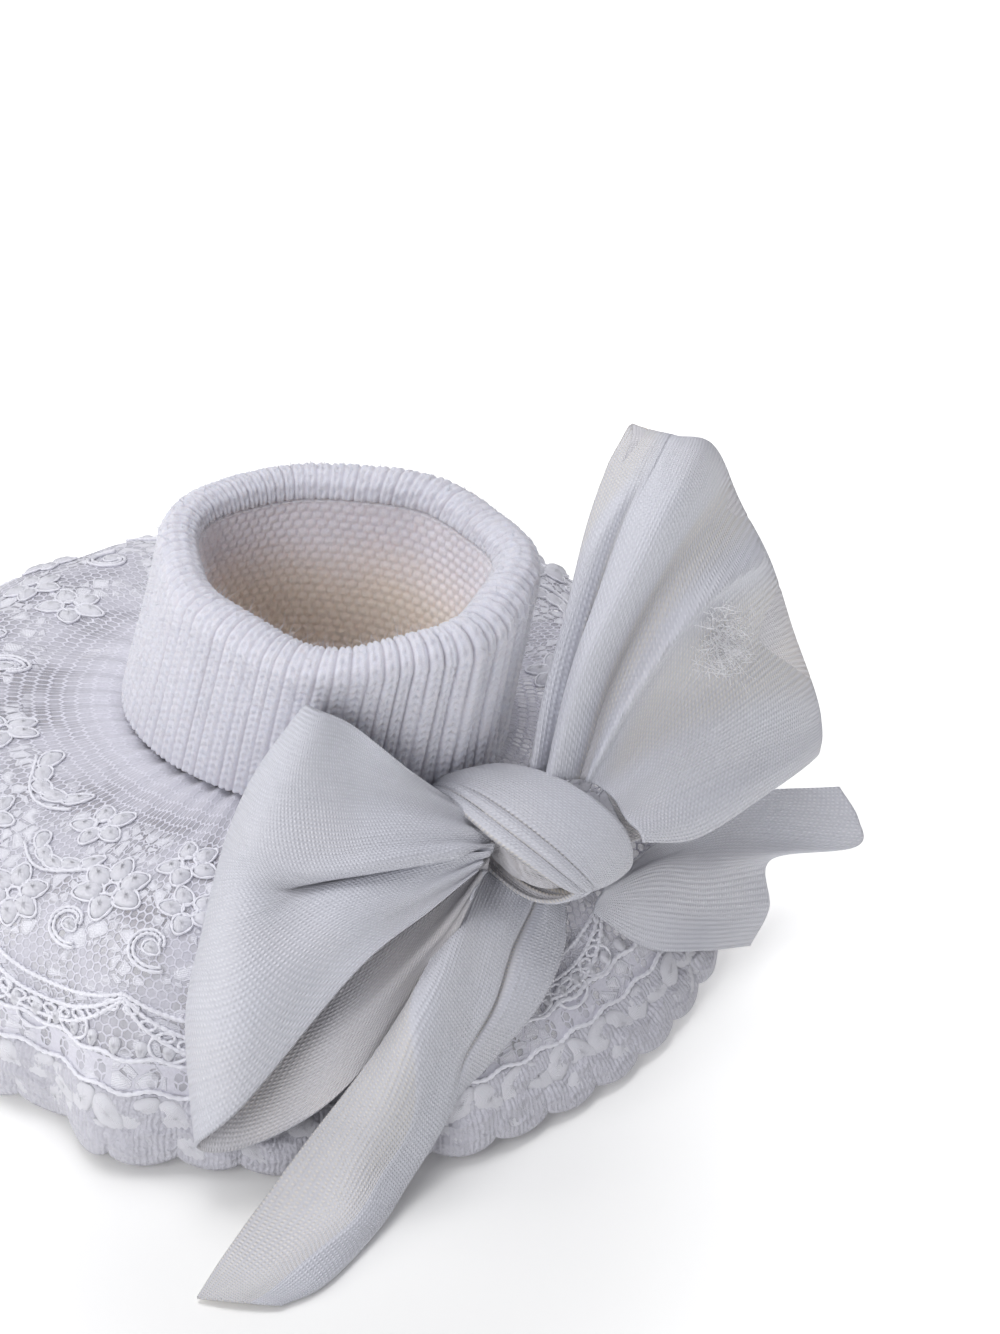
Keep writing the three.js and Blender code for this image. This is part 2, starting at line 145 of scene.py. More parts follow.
def spline(points, shares):
    """Catmull-Rom curve through the points along the first axis, at shares from 0 to 1: between two
    points it is the cubic whose slope at each of them is half of the step between its neighbours."""
    points = np.asarray(points, float)
    last = len(points) - 1
    padded = np.concatenate([2 * points[:1] - points[1:2], points, 2 * points[-1:] - points[-2:-1]])
    place = np.clip(shares, 0, 1) * last
    first = np.minimum(place.astype(int), last - 1)
    t = (place - first).reshape((-1,) + (1,) * (points.ndim - 1))
    a, b, c, d = (padded[first + k] for k in range(4))
    return b + 0.5 * t * (c - a + t * (2 * a - 5 * b + 4 * c - d + t * (3 * (b - c) + d - a)))


def patch(net, along, across):
    """Grid of points on the surface through a net: the curves along it first, then those across."""
    rows = spline(net, np.linspace(0, 1, along))
    return spline(rows.swapaxes(0, 1), np.linspace(0, 1, across)).swapaxes(0, 1)


def slopes(grid, axis, ring):
    """Central differences of a grid of points along an axis, joined end to end where it is a ring."""
    if ring:
        return np.roll(grid, -1, axis) - np.roll(grid, 1, axis)
    return np.gradient(grid, axis=axis)


def unit(vectors):
    """Vectors of length 1 in the same directions."""
    return vectors / np.maximum(np.linalg.norm(vectors, axis=-1, keepdims=True), 1e-9)


def square_to(grid, ring=False):
    """Unit normals of a grid of points: the cross product of its two slopes."""
    return unit(np.cross(slopes(grid, 0, ring), slopes(grid, 1, False)))


class Shape:
    """Grids and tubes gathered into one mesh."""

    def __init__(self):
        self.points = []
        self.faces = []
        self.marks = []
        self.reliefs = []
        self.count = 0

    def grid(self, points, marks=None, rings=(False, False), flip=False, relief=0.5):
        """Adds a grid of points, rows by columns, with its UV marks. A ring joins its end to its start.
        The relief, 0 in hollows and 1 on ridges, is kept for its material, which paints shade by it:
        between knit stitches, in satin creases and round the foot of embroidered pads."""
        rows, columns = points.shape[:2]
        row = np.arange(rows if rings[0] else rows - 1)[:, None]
        column = np.arange(columns if rings[1] else columns - 1)[None, :]
        corners = [(row, column), (row + 1, column), (row + 1, column + 1), (row, column + 1)]
        if flip:
            corners.reverse()
        ids = [((r % rows) * columns + c % columns).ravel() for r, c in corners]
        if marks is None:
            across, along = np.meshgrid(np.linspace(0, 1, columns + 1), np.linspace(0, 1, rows + 1))
            marks = np.stack([along, across], -1)
        self.marks.append(np.stack([marks[r + 0 * c, c + 0 * r].reshape(-1, 2) for r, c in corners], 1))
        self.faces.append(np.stack(ids, 1) + self.count)
        self.points.append(points.reshape(-1, 3))
        self.reliefs.append(np.broadcast_to(relief, (rows, columns)).ravel())
        self.count += rows * columns

    def tubes(self, paths, radius, up, closed=False, sides=6):
        """Adds round tubes along paths, an array of tubes by points. up holds a direction square to
        each path, and radius may change along it. An open tube's ends are closed by flat caps."""
        ahead = unit(slopes(paths, 1, closed))
        side = unit(np.cross(ahead, up))
        above = np.cross(side, ahead)
        turn = np.arange(sides) / sides * TAU
        wide = np.broadcast_to(radius, paths.shape[:2])[..., None, None]
        skin = paths[:, :, None] + wide * (
            side[:, :, None] * np.cos(turn)[:, None] + above[:, :, None] * np.sin(turn)[:, None])
        tubes, length = paths.shape[:2]
        base = (np.arange(tubes) * length * sides)[:, None, None] + self.count
        step = np.arange(length if closed else length - 1)[None, :, None]
        around = np.arange(sides)[None, None, :]
        corners = [(step, around), (step + 1, around), (step + 1, around + 1), (step, around + 1)]
        ids = [base + (s % length) * sides + a % sides for s, a in corners]
        faces = [np.stack([i.ravel() for i in np.broadcast_arrays(*ids)], 1)]
        shares = [np.stack(np.broadcast_arrays(s / length + 0 * base, a / sides), -1) for s, a in corners]
        marks = [np.stack([m.reshape(-1, 2) for m in shares], 1)]
        if not closed:
            cap = np.array([(0, k, k + 1, k + 2) for k in range(1, sides - 1, 2)])
            near = base[:, 0, :, None] + cap
            far = near[..., ::-1] + (length - 1) * sides
            caps = np.concatenate([near.reshape(-1, 4), far.reshape(-1, 4)])
            faces.append(caps)
            marks.append(np.zeros((len(caps), 4, 2)))
        self.faces.append(np.concatenate(faces))
        self.marks.append(np.concatenate(marks))
        self.points.append(skin.reshape(-1, 3))
        self.reliefs.append(np.full(tubes * length * sides, 0.8))
        self.count += tubes * length * sides

    def build(self, name, finishes, weld=False):
        """Makes the object: its mesh in metres, its UV map and its materials."""
        points = np.concatenate(self.points) * MM
        faces = np.concatenate(self.faces)
        mesh = bpy.data.meshes.new(name)
        mesh.vertices.add(len(points))
        mesh.vertices.foreach_set("co", points.astype(np.float32).ravel())
        mesh.loops.add(faces.size)
        mesh.loops.foreach_set("vertex_index", faces.astype(np.int32).ravel())
        mesh.polygons.add(len(faces))
        mesh.polygons.foreach_set("loop_start", np.arange(0, faces.size, 4, dtype=np.int32))
        mesh.polygons.foreach_set("use_smooth", np.ones(len(faces), bool))
        layer = mesh.uv_layers.new(name="UVMap")
        layer.data.foreach_set("uv", np.concatenate(self.marks).astype(np.float32).ravel())
        relief = mesh.attributes.new("relief", "FLOAT", "POINT")
        relief.data.foreach_set("value", np.concatenate(self.reliefs).astype(np.float32))
        mesh.update(calc_edges=True)
        if weld:
            tidy = bmesh.new()
            tidy.from_mesh(mesh)
            bmesh.ops.remove_doubles(tidy, verts=tidy.verts, dist=1e-7)
            tidy.to_mesh(mesh)
            tidy.free()
        for finish in finishes:
            mesh.materials.append(finish)
        piece = bpy.data.objects.new(name, mesh)
        bpy.context.scene.collection.objects.link(piece)
        return piece


def marks_of(rows, columns, along, across):
    """UV marks of a grid, in millimetres: along its rows and across its columns, one more each way."""
    return np.stack(np.meshgrid(
        np.linspace(0, along, rows + 1), np.linspace(0, across, columns + 1), indexing="ij"), -1)


def thicken(piece, thickness, back=0):
    """Gives a sheet its thickness in millimetres; back is the step to its reverse side's material."""
    solid = piece.modifiers.new("Thickness", "SOLIDIFY")
    solid.thickness = thickness * MM
    solid.offset = 0
    solid.material_offset = back
    solid.use_even_offset = False
    return piece


def settle(piece, body, slot, *nodes):
    """Makes a finished piece ride on its body and stand for its CAD nodes, which it hides; its slot,
    which would name its finish, is not used.
    """
    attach(piece, body)
    if nodes:
        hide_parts(*nodes)
    return piece


# ---- Materials -----------------------------------------------------------------------------

class Wire:
    """What comes out of one socket. Arithmetic on it adds Math nodes to its material."""

    def __init__(self, finish, socket):
        self.finish = finish
        self.socket = socket

    def __add__(self, other):
        return self.finish.math("ADD", self, other)

    def __sub__(self, other):
        return self.finish.math("SUBTRACT", self, other)

    def __rsub__(self, other):
        return self.finish.math("SUBTRACT", other, self)

    def __mul__(self, other):
        return self.finish.math("MULTIPLY", self, other)

    def __truediv__(self, other):
        return self.finish.math("DIVIDE", self, other)

    def __mod__(self, other):
        return self.finish.math("FLOORED_MODULO", self, other)

    def __pow__(self, other):
        return self.finish.math("POWER", self, other)

    def __abs__(self):
        return self.finish.math("ABSOLUTE", self)

    def __gt__(self, other):
        return self.finish.math("GREATER_THAN", self, other)

    __radd__ = __add__
    __rmul__ = __mul__

    def wave(self):
        """Sine of this value times a full turn, from 0 to 1."""
        return self.finish.math("SINE", self * TAU) * 0.5 + 0.5

    def least(self, other):
        return self.finish.math("MINIMUM", self, other)

    def most(self, other):
        return self.finish.math("MAXIMUM", self, other)

    def ramp(self, low, high):
        """0 where this value is low, 1 where it is high, smooth between; low may be the larger."""
        return self.finish.node(
            "ShaderNodeMapRange", {"Value": self, "From Min": low, "From Max": high},
            interpolation_type="SMOOTHSTEP")


class Finish:
    """A material on a Principled shader, built up by expressions."""

    def __init__(self, name, **sockets):
        self.material = bpy.data.materials.new(name)
        self.material.use_nodes = True
        self.tree = self.material.node_tree
        self.shader = self.tree.nodes["Principled BSDF"]
        self.set(sockets)

    def feed(self, socket, value):
        """Links a wire to a socket, or sets its constant."""
        if isinstance(value, Wire):
            self.tree.links.new(value.socket, socket)
        else:
            socket.default_value = value

    def set(self, sockets):
        """Feeds the Principled shader's own sockets; an underscore in a name stands for a space."""
        for name, value in sockets.items():
            self.feed(self.shader.inputs[name.replace("_", " ")], value)

    def node(self, kind, sockets=None, output=0, **settings):
        """Adds a node: its settings first, then its sockets. Gives its output, or a list of several."""
        node = self.tree.nodes.new(kind)
        for name, value in settings.items():
            setattr(node, name, value)
        for name, value in (sockets or {}).items():
            self.feed(node.inputs[name], value)
        if isinstance(output, (list, tuple)):
            return [Wire(self, node.outputs[name]) for name in output]
        return Wire(self, node.outputs[output])

    def math(self, operation, *values):
        return self.node("ShaderNodeMath", dict(enumerate(values)), operation=operation)

    def relief(self):
        """How high the piece's own relief stands, 0 in hollows and 1 on ridges."""
        return self.node("ShaderNodeAttribute", output="Fac", attribute_name="relief")

    def marks(self):
        """The piece's UV marks, as two wires in millimetres."""
        place = self.node("ShaderNodeTexCoord", output="UV")
        return self.node("ShaderNodeSeparateXYZ", {"Vector": place}, output=["X", "Y"])

    def place(self):
        """Object coordinates, as one vector wire in metres."""
        return self.node("ShaderNodeTexCoord", output="Object")

    def noise(self, scale, detail=2.0):
        """Noise from 0 to 1, with scale features to a millimetre."""
        sockets = {"Vector": self.place(), "Scale": scale / MM, "Detail": detail}
        return self.node("ShaderNodeTexNoise", sockets, output="Fac")

    def blend(self, share, first, second):
        """First colour where the share is 0, second where it is 1."""
        return self.node(
            "ShaderNodeMix", {0: share, 6: colour_of(first), 7: colour_of(second)}, output=2,
            data_type="RGBA")

    def bump(self, height, strength, distance):
        """Normal from a height, whose full step stands distance millimetres."""
        return self.node(
            "ShaderNodeBump", {"Height": height, "Strength": strength, "Distance": distance * MM},
            output="Normal")


def colour_of(value):
    """A wire as it is, or three numbers as a colour with full alpha."""
    return value if isinstance(value, Wire) else (*value[:3], 1.0)


def shade(colour, share):
    """A colour made darker or lighter by a share."""
    return tuple(min(1.0, c * share) for c in colour[:3])


def knit_finish(name, colour, deep=None):
    """Soft yarn: fine crossing fibres, painted shade that is darker and warmer between its stitches,
    and painted shade in a tan tone lower down where deep is given."""
    finish = Finish(name, Roughness=0.92, Sheen_Weight=0.35, Sheen_Roughness=0.6,
                    Subsurface_Weight=0.45, Subsurface_Scale=1.6 * MM, Subsurface_Radius=(1.0, 0.85, 0.75))
    fibre = finish.noise(5.5, 3.0)
    cloud = finish.noise(0.12)
    # painted shade: a darker, warmer copy of the yarn's colour, laid in where the relief is low, between the
    # stitches
    hollow = (colour[0] * 0.80, colour[1] * 0.76, colour[2] * 0.78)
    tone = finish.blend(cloud.ramp(0.3, 0.7), shade(colour, 0.95), colour)
    tone = finish.blend(finish.relief().ramp(0.0, 0.75), hollow, tone)
    tone = finish.blend(fibre.ramp(0.7, 0.35) * 0.5, tone, shade(colour, 0.86))
    # painted shade: lower down inside the tube the yarn's colour turns to a warm tan, by height
    if deep:
        height = finish.node("ShaderNodeSeparateXYZ", {"Vector": finish.place()}, output="Z")
        down = (height + (cloud - 0.5) * (6 * MM)).ramp((RIM_HEIGHT - 6) * MM, (RIM_HEIGHT - 19) * MM)
        tone = finish.blend(down, tone, deep)
    finish.set({"Base Color": tone, "Normal": finish.bump(fibre, 0.6, 0.12)})
    return finish.material


def net_finish(name, colour, thread_colour):
    """Hexagon tulle, with embroidered pads on it and closer cloth with oval eyelets at its foot. A
    tulle cell's edge distance is the larger of |x| and |x|/2 + 0.87|y| from the nearer of two
    staggered grids. The pads are Voronoi cells, kept where a cloud allows: each is domed, has stitches
    across it and a corded edge."""
    finish = Finish(name, Roughness=0.7, Sheen_Weight=0.2)
    along, down = finish.marks()
    cell = LACE_ROUND / 266
    x, y = along / cell, down / (cell * math.sqrt(3))

    def reach(offset):
        dx = abs((x + offset) % 1.0 - 0.5)
        dy = abs((y + offset) % 1.0 - 0.5) * math.sqrt(3)
        return dx.most(dx * 0.5 + dy * (math.sqrt(3) / 2))

    strand = reach(0.0).least(reach(0.5)).ramp(0.37, 0.43)
    cloud = finish.noise(0.16, 2.0)
    lining = cloud.ramp(0.35, 0.62) * 0.45 + 0.25
    gathered = down.ramp(9.0, 2.0)

    flat = finish.node("ShaderNodeCombineXYZ", {"X": along, "Y": down * 1.25})
    edge = finish.node(
        "ShaderNodeTexVoronoi", {"Vector": flat, "Scale": 0.36, "Randomness": 0.85}, output="Distance",
        feature="DISTANCE_TO_EDGE")
    patchy = finish.node(
        "ShaderNodeTexNoise", {"Vector": flat, "Scale": 0.13, "Detail": 1.0}, output="Fac")
    place = (down.ramp(6.0, 9.5) * down.ramp(30.5, 29.0)).most(down.ramp(30.0, 31.0))
    worked = patchy.ramp(0.44, 0.52) * place
    pad = edge.ramp(0.05, 0.09) * worked
    cord = edge.ramp(0.05, 0.08) * edge.ramp(0.17, 0.13) * worked
    dome = edge.ramp(0.08, 0.34) * worked
    stitch = ((along * 0.8 + down * 1.9) / 0.55).wave()

    strip = down > EYELET_TOP
    step = LACE_ROUND / EYELETS
    eye_x = (along / step % 1.0 - 0.5) * step
    eye_y = down - (EYELET_TOP + BORDER_SHARE * LACE_DEPTH) / 2
    eye = ((eye_x / 0.85) ** 2.0 + (eye_y / 1.25) ** 2.0).ramp(1.25, 0.8)
    thread = finish.noise(3.0, 2.0)
    cover = strand.most(lining).most(gathered * 0.85).most(pad).most(strip * (1 - eye))
    tone = finish.blend(thread.ramp(0.3, 0.75), shade(colour, 0.9), colour)
    tone = finish.blend(pad * (0.6 + 0.4 * dome), tone, thread_colour)
    finish.set({
        "Base Color": tone,
        "Alpha": cover.most(0.18),
        "Normal": finish.bump(strand.most(strip) * 0.3 + thread * 0.3 + dome + cord * 0.6
                              + pad * stitch * 0.3, 0.6, 0.3),
    })
    return finish.material


def embroidery_finish(name, colour, pitch=7.0):
    """Satin stitches: fine bright threads side by side along the pad, with a little sparkle, and
    painted shade where the pad is low at its edge.
    """
    finish = Finish(name, Roughness=0.42, Sheen_Weight=0.3, Coat_Weight=0.08)
    along, across = finish.marks()
    stitch = (along * pitch + across * 1.5).wave()
    fibre = finish.noise(4.0, 2.0)
    # painted shade: the thread darkens where the relief is low, round the foot of each pad
    tone = finish.blend((stitch * 0.5 + 0.7) * finish.relief().ramp(-0.2, 0.7), shade(colour, 0.8), colour)
    finish.set({"Base Color": tone, "Normal": finish.bump(stitch + fibre * 0.6, 0.5, 0.1)})
    return finish.material


def border_finish(name, colour):
    """The dense edging: close stitches that run from the lace to the hem, with a soft uneven sheen."""
    finish = Finish(name, Roughness=0.6, Sheen_Weight=0.3)
    along, down = finish.marks()
    stitch = (along / 0.7 + finish.noise(0.8) * 1.5).wave()
    row = (down / 2.1 + (along / 4.1).wave() * 0.2).wave() ** 4.0
    fibre = finish.noise(1.6, 4.0)
    tone = finish.blend(stitch * 0.3 + fibre * 0.7, shade(colour, 0.84), colour)
    finish.set({"Base Color": tone, "Normal": finish.bump(stitch * 0.5 + fibre * 2.0 + row, 0.7, 0.3)})
    return finish.material


def satin_finish(name, colour, warm):
    """Woven ribbon: dots of warp and weft in a fine diagonal, slubs along it, a soft lustre, and
    painted shade, warm and yellowish, in its creases."""
    finish = Finish(name, Sheen_Weight=0.3, Sheen_Roughness=0.35, Specular_IOR_Level=0.7)
    along, across = finish.marks()
    pitch = 0.48
    warp = (along / pitch + across / pitch * 0.5).wave()
    weft = (across / pitch).wave()
    weave = warp * weft
    slub = finish.node(
        "ShaderNodeTexNoise",
        {"Vector": finish.node("ShaderNodeCombineXYZ", {"X": along * 0.12, "Y": across * 1.7}),
         "Scale": 1.0, "Detail": 3.0}, output="Fac")
    cloud = finish.noise(0.07)
    # painted shade: a warmer, yellower copy of the warm colour, laid in where the relief is low, in the
    # creases
    crease_shade = (warm[0], warm[1] * 0.96, warm[2] * 0.84)
    tone = finish.blend(cloud.ramp(0.35, 0.7), colour, warm)
    tone = finish.blend(finish.relief().ramp(0.42, 0.08), tone, crease_shade)
    tone = finish.blend(weave * 0.65 + slub * 0.35, shade(colour, 0.72), tone)
    finish.set({
        "Base Color": tone,
        "Roughness": 0.52 - weave * 0.2,
        "Normal": finish.bump(weave + slub * 0.8, 0.7, 0.16),
    })
    return finish.material


def thread_finish(name, colour, pitch):
    """Twisted thread or covered elastic: slanting plies round a fine cord."""
    finish = Finish(name, Roughness=0.7, Sheen_Weight=0.2)
    x, y, z = finish.node("ShaderNodeSeparateXYZ", {"Vector": finish.place()}, output=["X", "Y", "Z"])
    ply = ((x + y + z * 0.7) / (pitch * MM)).wave()
    fibre = finish.noise(5.0, 2.0)
    tone = finish.blend(ply * 0.6 + fibre * 0.4, shade(colour, 0.82), colour)
    finish.set({"Base Color": tone, "Normal": finish.bump(ply + fibre * 0.5, 0.6, 0.12)})
    return finish.material


# ---- Foot, ankle and cuff ------------------------------------------------------------------

def ankle_ring(angle, height, outside=0.0):
    """Middle of the ankle tube: an ellipse at each height, which narrows and leans as it rises."""
    rise = (height - ANKLE_HEIGHT) / (RIM_HEIGHT - ANKLE_HEIGHT)
    wide = mix(ANKLE_WIDE, RIM_WIDE, rise) + outside
    long = mix(ANKLE_LONG, RIM_LONG, rise) + outside
    x = RIM_SHIFT * rise + wide * np.cos(angle)
    y = RIM_LEAN * rise + long * np.sin(angle)
    return np.stack(np.broadcast_arrays(x, y, height + 0 * angle), -1)


def cuff_outside(height):
    """How far the cuff's outer layer stands outside the ankle tube's middle."""
    return 2 * FOLD_RADIUS + CUFF_FLARE * (ROLL_TOP - height) / (ROLL_TOP - CUFF_FOOT)


def slump(points, angle):
    """The soft tube's own hang: its rim dips on the bow's side, waves a little, and the wall leans
    outward at its foot on the far side. Both grow in proportion to the height over the cuff's foot."""
    rise = np.clip((points[..., 2] - CUFF_FOOT) / (RIM_HEIGHT - CUFF_FOOT), 0, 1)
    dip = 3.4 * np.exp(-(turn_from(angle, math.radians(12)) / 1.25) ** 2) + 0.35 * np.sin(5 * angle + 1)
    bulge = 0.5 * np.sin(3 * angle + 0.6) + 0.4 * np.sin(7 * angle)
    points = points.copy()
    points[..., 2] -= dip * rise ** 1.5
    points[..., 0] += bulge * rise * np.cos(angle)
    points[..., 1] += bulge * rise * np.sin(angle)
    return points


def cuff_middle(angle, share):
    """The turned cuff: straight up its wall, then a half circle over the rim. Shares are lengths."""
    wall = ROLL_TOP - CUFF_FOOT
    roll = math.pi * FOLD_RADIUS
    up = np.clip(share * (wall + roll) / wall, 0, 1)
    turn = np.clip((share * (wall + roll) - wall) / roll, 0, 1) * math.pi
    height = mix(CUFF_FOOT, ROLL_TOP, up) + FOLD_RADIUS * np.sin(turn)
    flare = 1.2 * np.exp(-(turn_from(angle, math.radians(215)) / 0.9) ** 2) * (1 - up) ** 1.5
    outside = np.where(turn > 0, FOLD_RADIUS * (1 + np.cos(turn)), cuff_outside(height) + flare)
    return slump(ankle_ring(angle, height, outside), angle)


def rib_relief(wale, course, depth, grain):
    """Height of ribbed knitting and its share of the full height, by which the knit's material paints
    shade in its hollows. Each wale is a round rib, and each course of it is a V of two legs, whose
    arches are shifted by the distance from the rib's middle."""
    across = 2 * (wale % 1) - 1
    rib = np.sqrt(np.clip(1 - (across / 0.94) ** 2, 0, 1))
    leg = arch(course + 0.5 * np.abs(across))
    seam = bell(across, 0, 0.2)
    height = depth * rib + grain * (leg - 0.7 * seam) * rib
    return height, np.clip(0.15 + 0.55 * rib * (0.35 + 0.65 * leg) + 0.35 * rib - 0.3 * seam, 0, 1)


def purl_relief(wale, course, depth):
    """Height of knitting's reverse and its share, by which the knit's material paints shade between
    the dashes: level dashes in rows, each row half a step along.
    """
    row = np.floor(course) % 2
    dash = arch(course) * arch(wale + 0.5 * row) ** 0.7
    return depth * dash, 0.35 + 0.65 * dash


def closed_cloth(shape, middle, height, tone, marks, side=1):
    """Adds a ring of cloth whose two faces meet at both of its edges. The stitches' height stands on
    its outer face, or on its inner one where side is -1, and the other face is plain."""
    normal = square_to(middle, ring=True) * side
    face = middle + normal * (KNIT / 2 - 0.3 + height)[..., None]
    keep = np.linspace(middle.shape[1] - 1, 0, 10).astype(int)
    plain = (middle - normal * (KNIT / 2 - 0.1))[:, keep]
    relief = np.concatenate([tone, tone[:, keep]], 1)
    shape.grid(np.concatenate([face, plain], 1), marks, rings=(True, True), flip=side < 0, relief=relief)


def sole_reach(angle):
    """Reach of the sole's outline: the farthest of a row of circles from the heel's to the toe's."""
    share = np.linspace(0, 1, 41).reshape((-1,) + (1,) * np.ndim(angle))
    place = mix(SOLE_BACK - SOLE_HEEL, SOLE_BACK - SOLE_LONG + SOLE_TOE, share)
    radius = mix(SOLE_HEEL, SOLE_TOE, share)
    inside = radius ** 2 - (place * np.cos(angle)) ** 2
    return np.where(inside > 0, place * np.sin(angle) + np.sqrt(np.abs(inside)), 0).max(0)


def bezier(pairs, t):
    """Cubic Bezier curve through the first and last of four [reach, height] pairs."""
    s = 1 - t
    weights = [s ** 3, 3 * s * s * t, 3 * s * t * t, t ** 3]
    return [sum(w * pair[k] for w, pair in zip(weights, pairs)) for k in (0, 1)]


def foot_point(angle, share, lift=0.0):
    """The knitted foot, from the ankle over the instep down to the sole, lifted square to itself."""
    top = 1 / np.hypot(np.cos(angle) / ANKLE_WIDE, np.sin(angle) / ANKLE_LONG)
    edge = sole_reach(angle) - KNIT / 2
    shoulder = np.clip((edge - top) / top, 0, 1)
    pairs = [
        (top, ANKLE_HEIGHT),
        (mix(top, edge, 0.55), ANKLE_HEIGHT - mix(6, 1.5, shoulder)),
        (edge + 1.5, ANKLE_HEIGHT * 0.55),
        (edge, SOLE_THICK + GAP),
    ]
    reach, height = bezier(pairs, share)
    ends = zip(bezier(pairs, share + 0.01), bezier(pairs, share - 0.01))
    ahead, below = (np.array(after) - before for after, before in ends)
    slope = np.hypot(ahead, below)
    reach = reach - below / slope * lift
    height = height + ahead / slope * lift
    return np.stack([reach * np.cos(angle), reach * np.sin(angle), height], -1)


def toe_line(angle):
    """Share of the foot's line at which the toe cap begins, by the angle from the heel's side."""
    turn = np.abs(turn_from(angle, -math.pi / 2)) / (TOE_CAP_SPREAD + math.radians(2))
    return np.where(turn < 1, 1 - TOE_CAP_SHARE * np.cos(np.minimum(turn, 1) * math.pi / 2), 1)


def add_hairs(shape, start, normal, lengths, radius, seed):
    """Adds short curved hairs: each leaves its start along the normal, leans one way and curls another,
    the curl growing as the square of the distance."""
    draw = np.random.default_rng(seed)
    count = len(start)
    lean, curl = unit(draw.normal(size=(count, 3))), unit(draw.normal(size=(count, 3)))
    length = draw.uniform(*lengths, count)[:, None, None]
    t = np.linspace(0, 1, 5)[None, :, None]
    way = normal[:, None] * (0.75 * t) + lean[:, None] * (0.55 * t) + curl[:, None] * (0.5 * t * t)
    paths = start[:, None] + length * way
    up = np.broadcast_to(unit(np.cross(lean, normal))[:, None], paths.shape)
    shape.tubes(paths, radius * (1.15 - t[..., 0]), up, sides=4)


class BOOTIE_OT_foot(bpy.types.Operator):
    """Knit the sock foot: instep, heel pocket, toe cap and sole"""

    bl_idname = "bootie.foot"
    bl_label = "Foot"

    def section(self, name, first, last, start, end, finish, node):
        """One knitted section between two angles and two shares, which may be arrays by angle."""
        angles = np.linspace(first, last, max(40, int((last - first) * 60)))[:, None]
        shares = np.linspace(0, 1, 70)[None, :]
        share = mix(start(angles), end(angles), shares)
        height, tone = rib_relief(angles * 20, share * 24, 0.12, 0.2)
        outer = foot_point(angles, share, KNIT / 2 - 0.32 + height)
        inner = foot_point(angles, share, -KNIT / 2)
        shape = Shape()
        shape.grid(np.concatenate([outer, inner[:, ::-1]], 1), rings=(False, True), flip=True,
                   relief=np.concatenate([tone, tone[:, ::-1]], 1))
        shape.grid(np.stack([outer[0], inner[0]]))
        shape.grid(np.stack([outer[-1], inner[-1]]), flip=True)
        settle(shape.build(name, [finish], weld=True), "bootie", "knit", node)

    def execute(self, context):
        knit = context.scene.bootie_knit
        finish = knit_finish("knitted foot", knit.foot_colour)
        slit = math.radians(0.5)
        heel_side = math.pi / 2 + HEEL_SPREAD
        self.section("foot_instep_knit", heel_side + slit, TAU + math.pi - heel_side - slit,
                     lambda a: 0 * a, toe_line, finish, "foot_upper")
        self.section("foot_heel_knit", math.pi - heel_side + slit, heel_side - slit,
                     lambda a: 0 * a, lambda a: 0 * a + 1, finish, "heel_pocket")
        self.section("foot_toe_knit", -math.pi / 2 - TOE_CAP_SPREAD, -math.pi / 2 + TOE_CAP_SPREAD,
                     lambda a: toe_line(a) + 0.018, lambda a: 0 * a + 1, finish, "toe_cap")

        angle = np.linspace(0, TAU, 240, endpoint=False)[:, None]
        rim = sole_reach(angle)
        inward = np.sqrt(np.linspace(0, 1, 40))[None, :]
        reach = np.concatenate([rim * inward, rim * inward[:, ::-1]], 1)
        x, y = reach * np.cos(angle), reach * np.sin(angle)
        stitch = arch(x / 1.6) * arch(y / 1.2 + 0.3 * arch(x / 1.6))
        above = np.repeat([1.0, 0.0], 40)[None, :]
        skin = np.stack([x, y, above * (SOLE_THICK - 0.16 + 0.16 * stitch)], -1)
        shape = Shape()
        shape.grid(skin, rings=(True, False), flip=True, relief=stitch)
        settle(shape.build("foot_sole_knit", [finish], weld=True), "bootie", "knit", "sole")
        return {"FINISHED"}


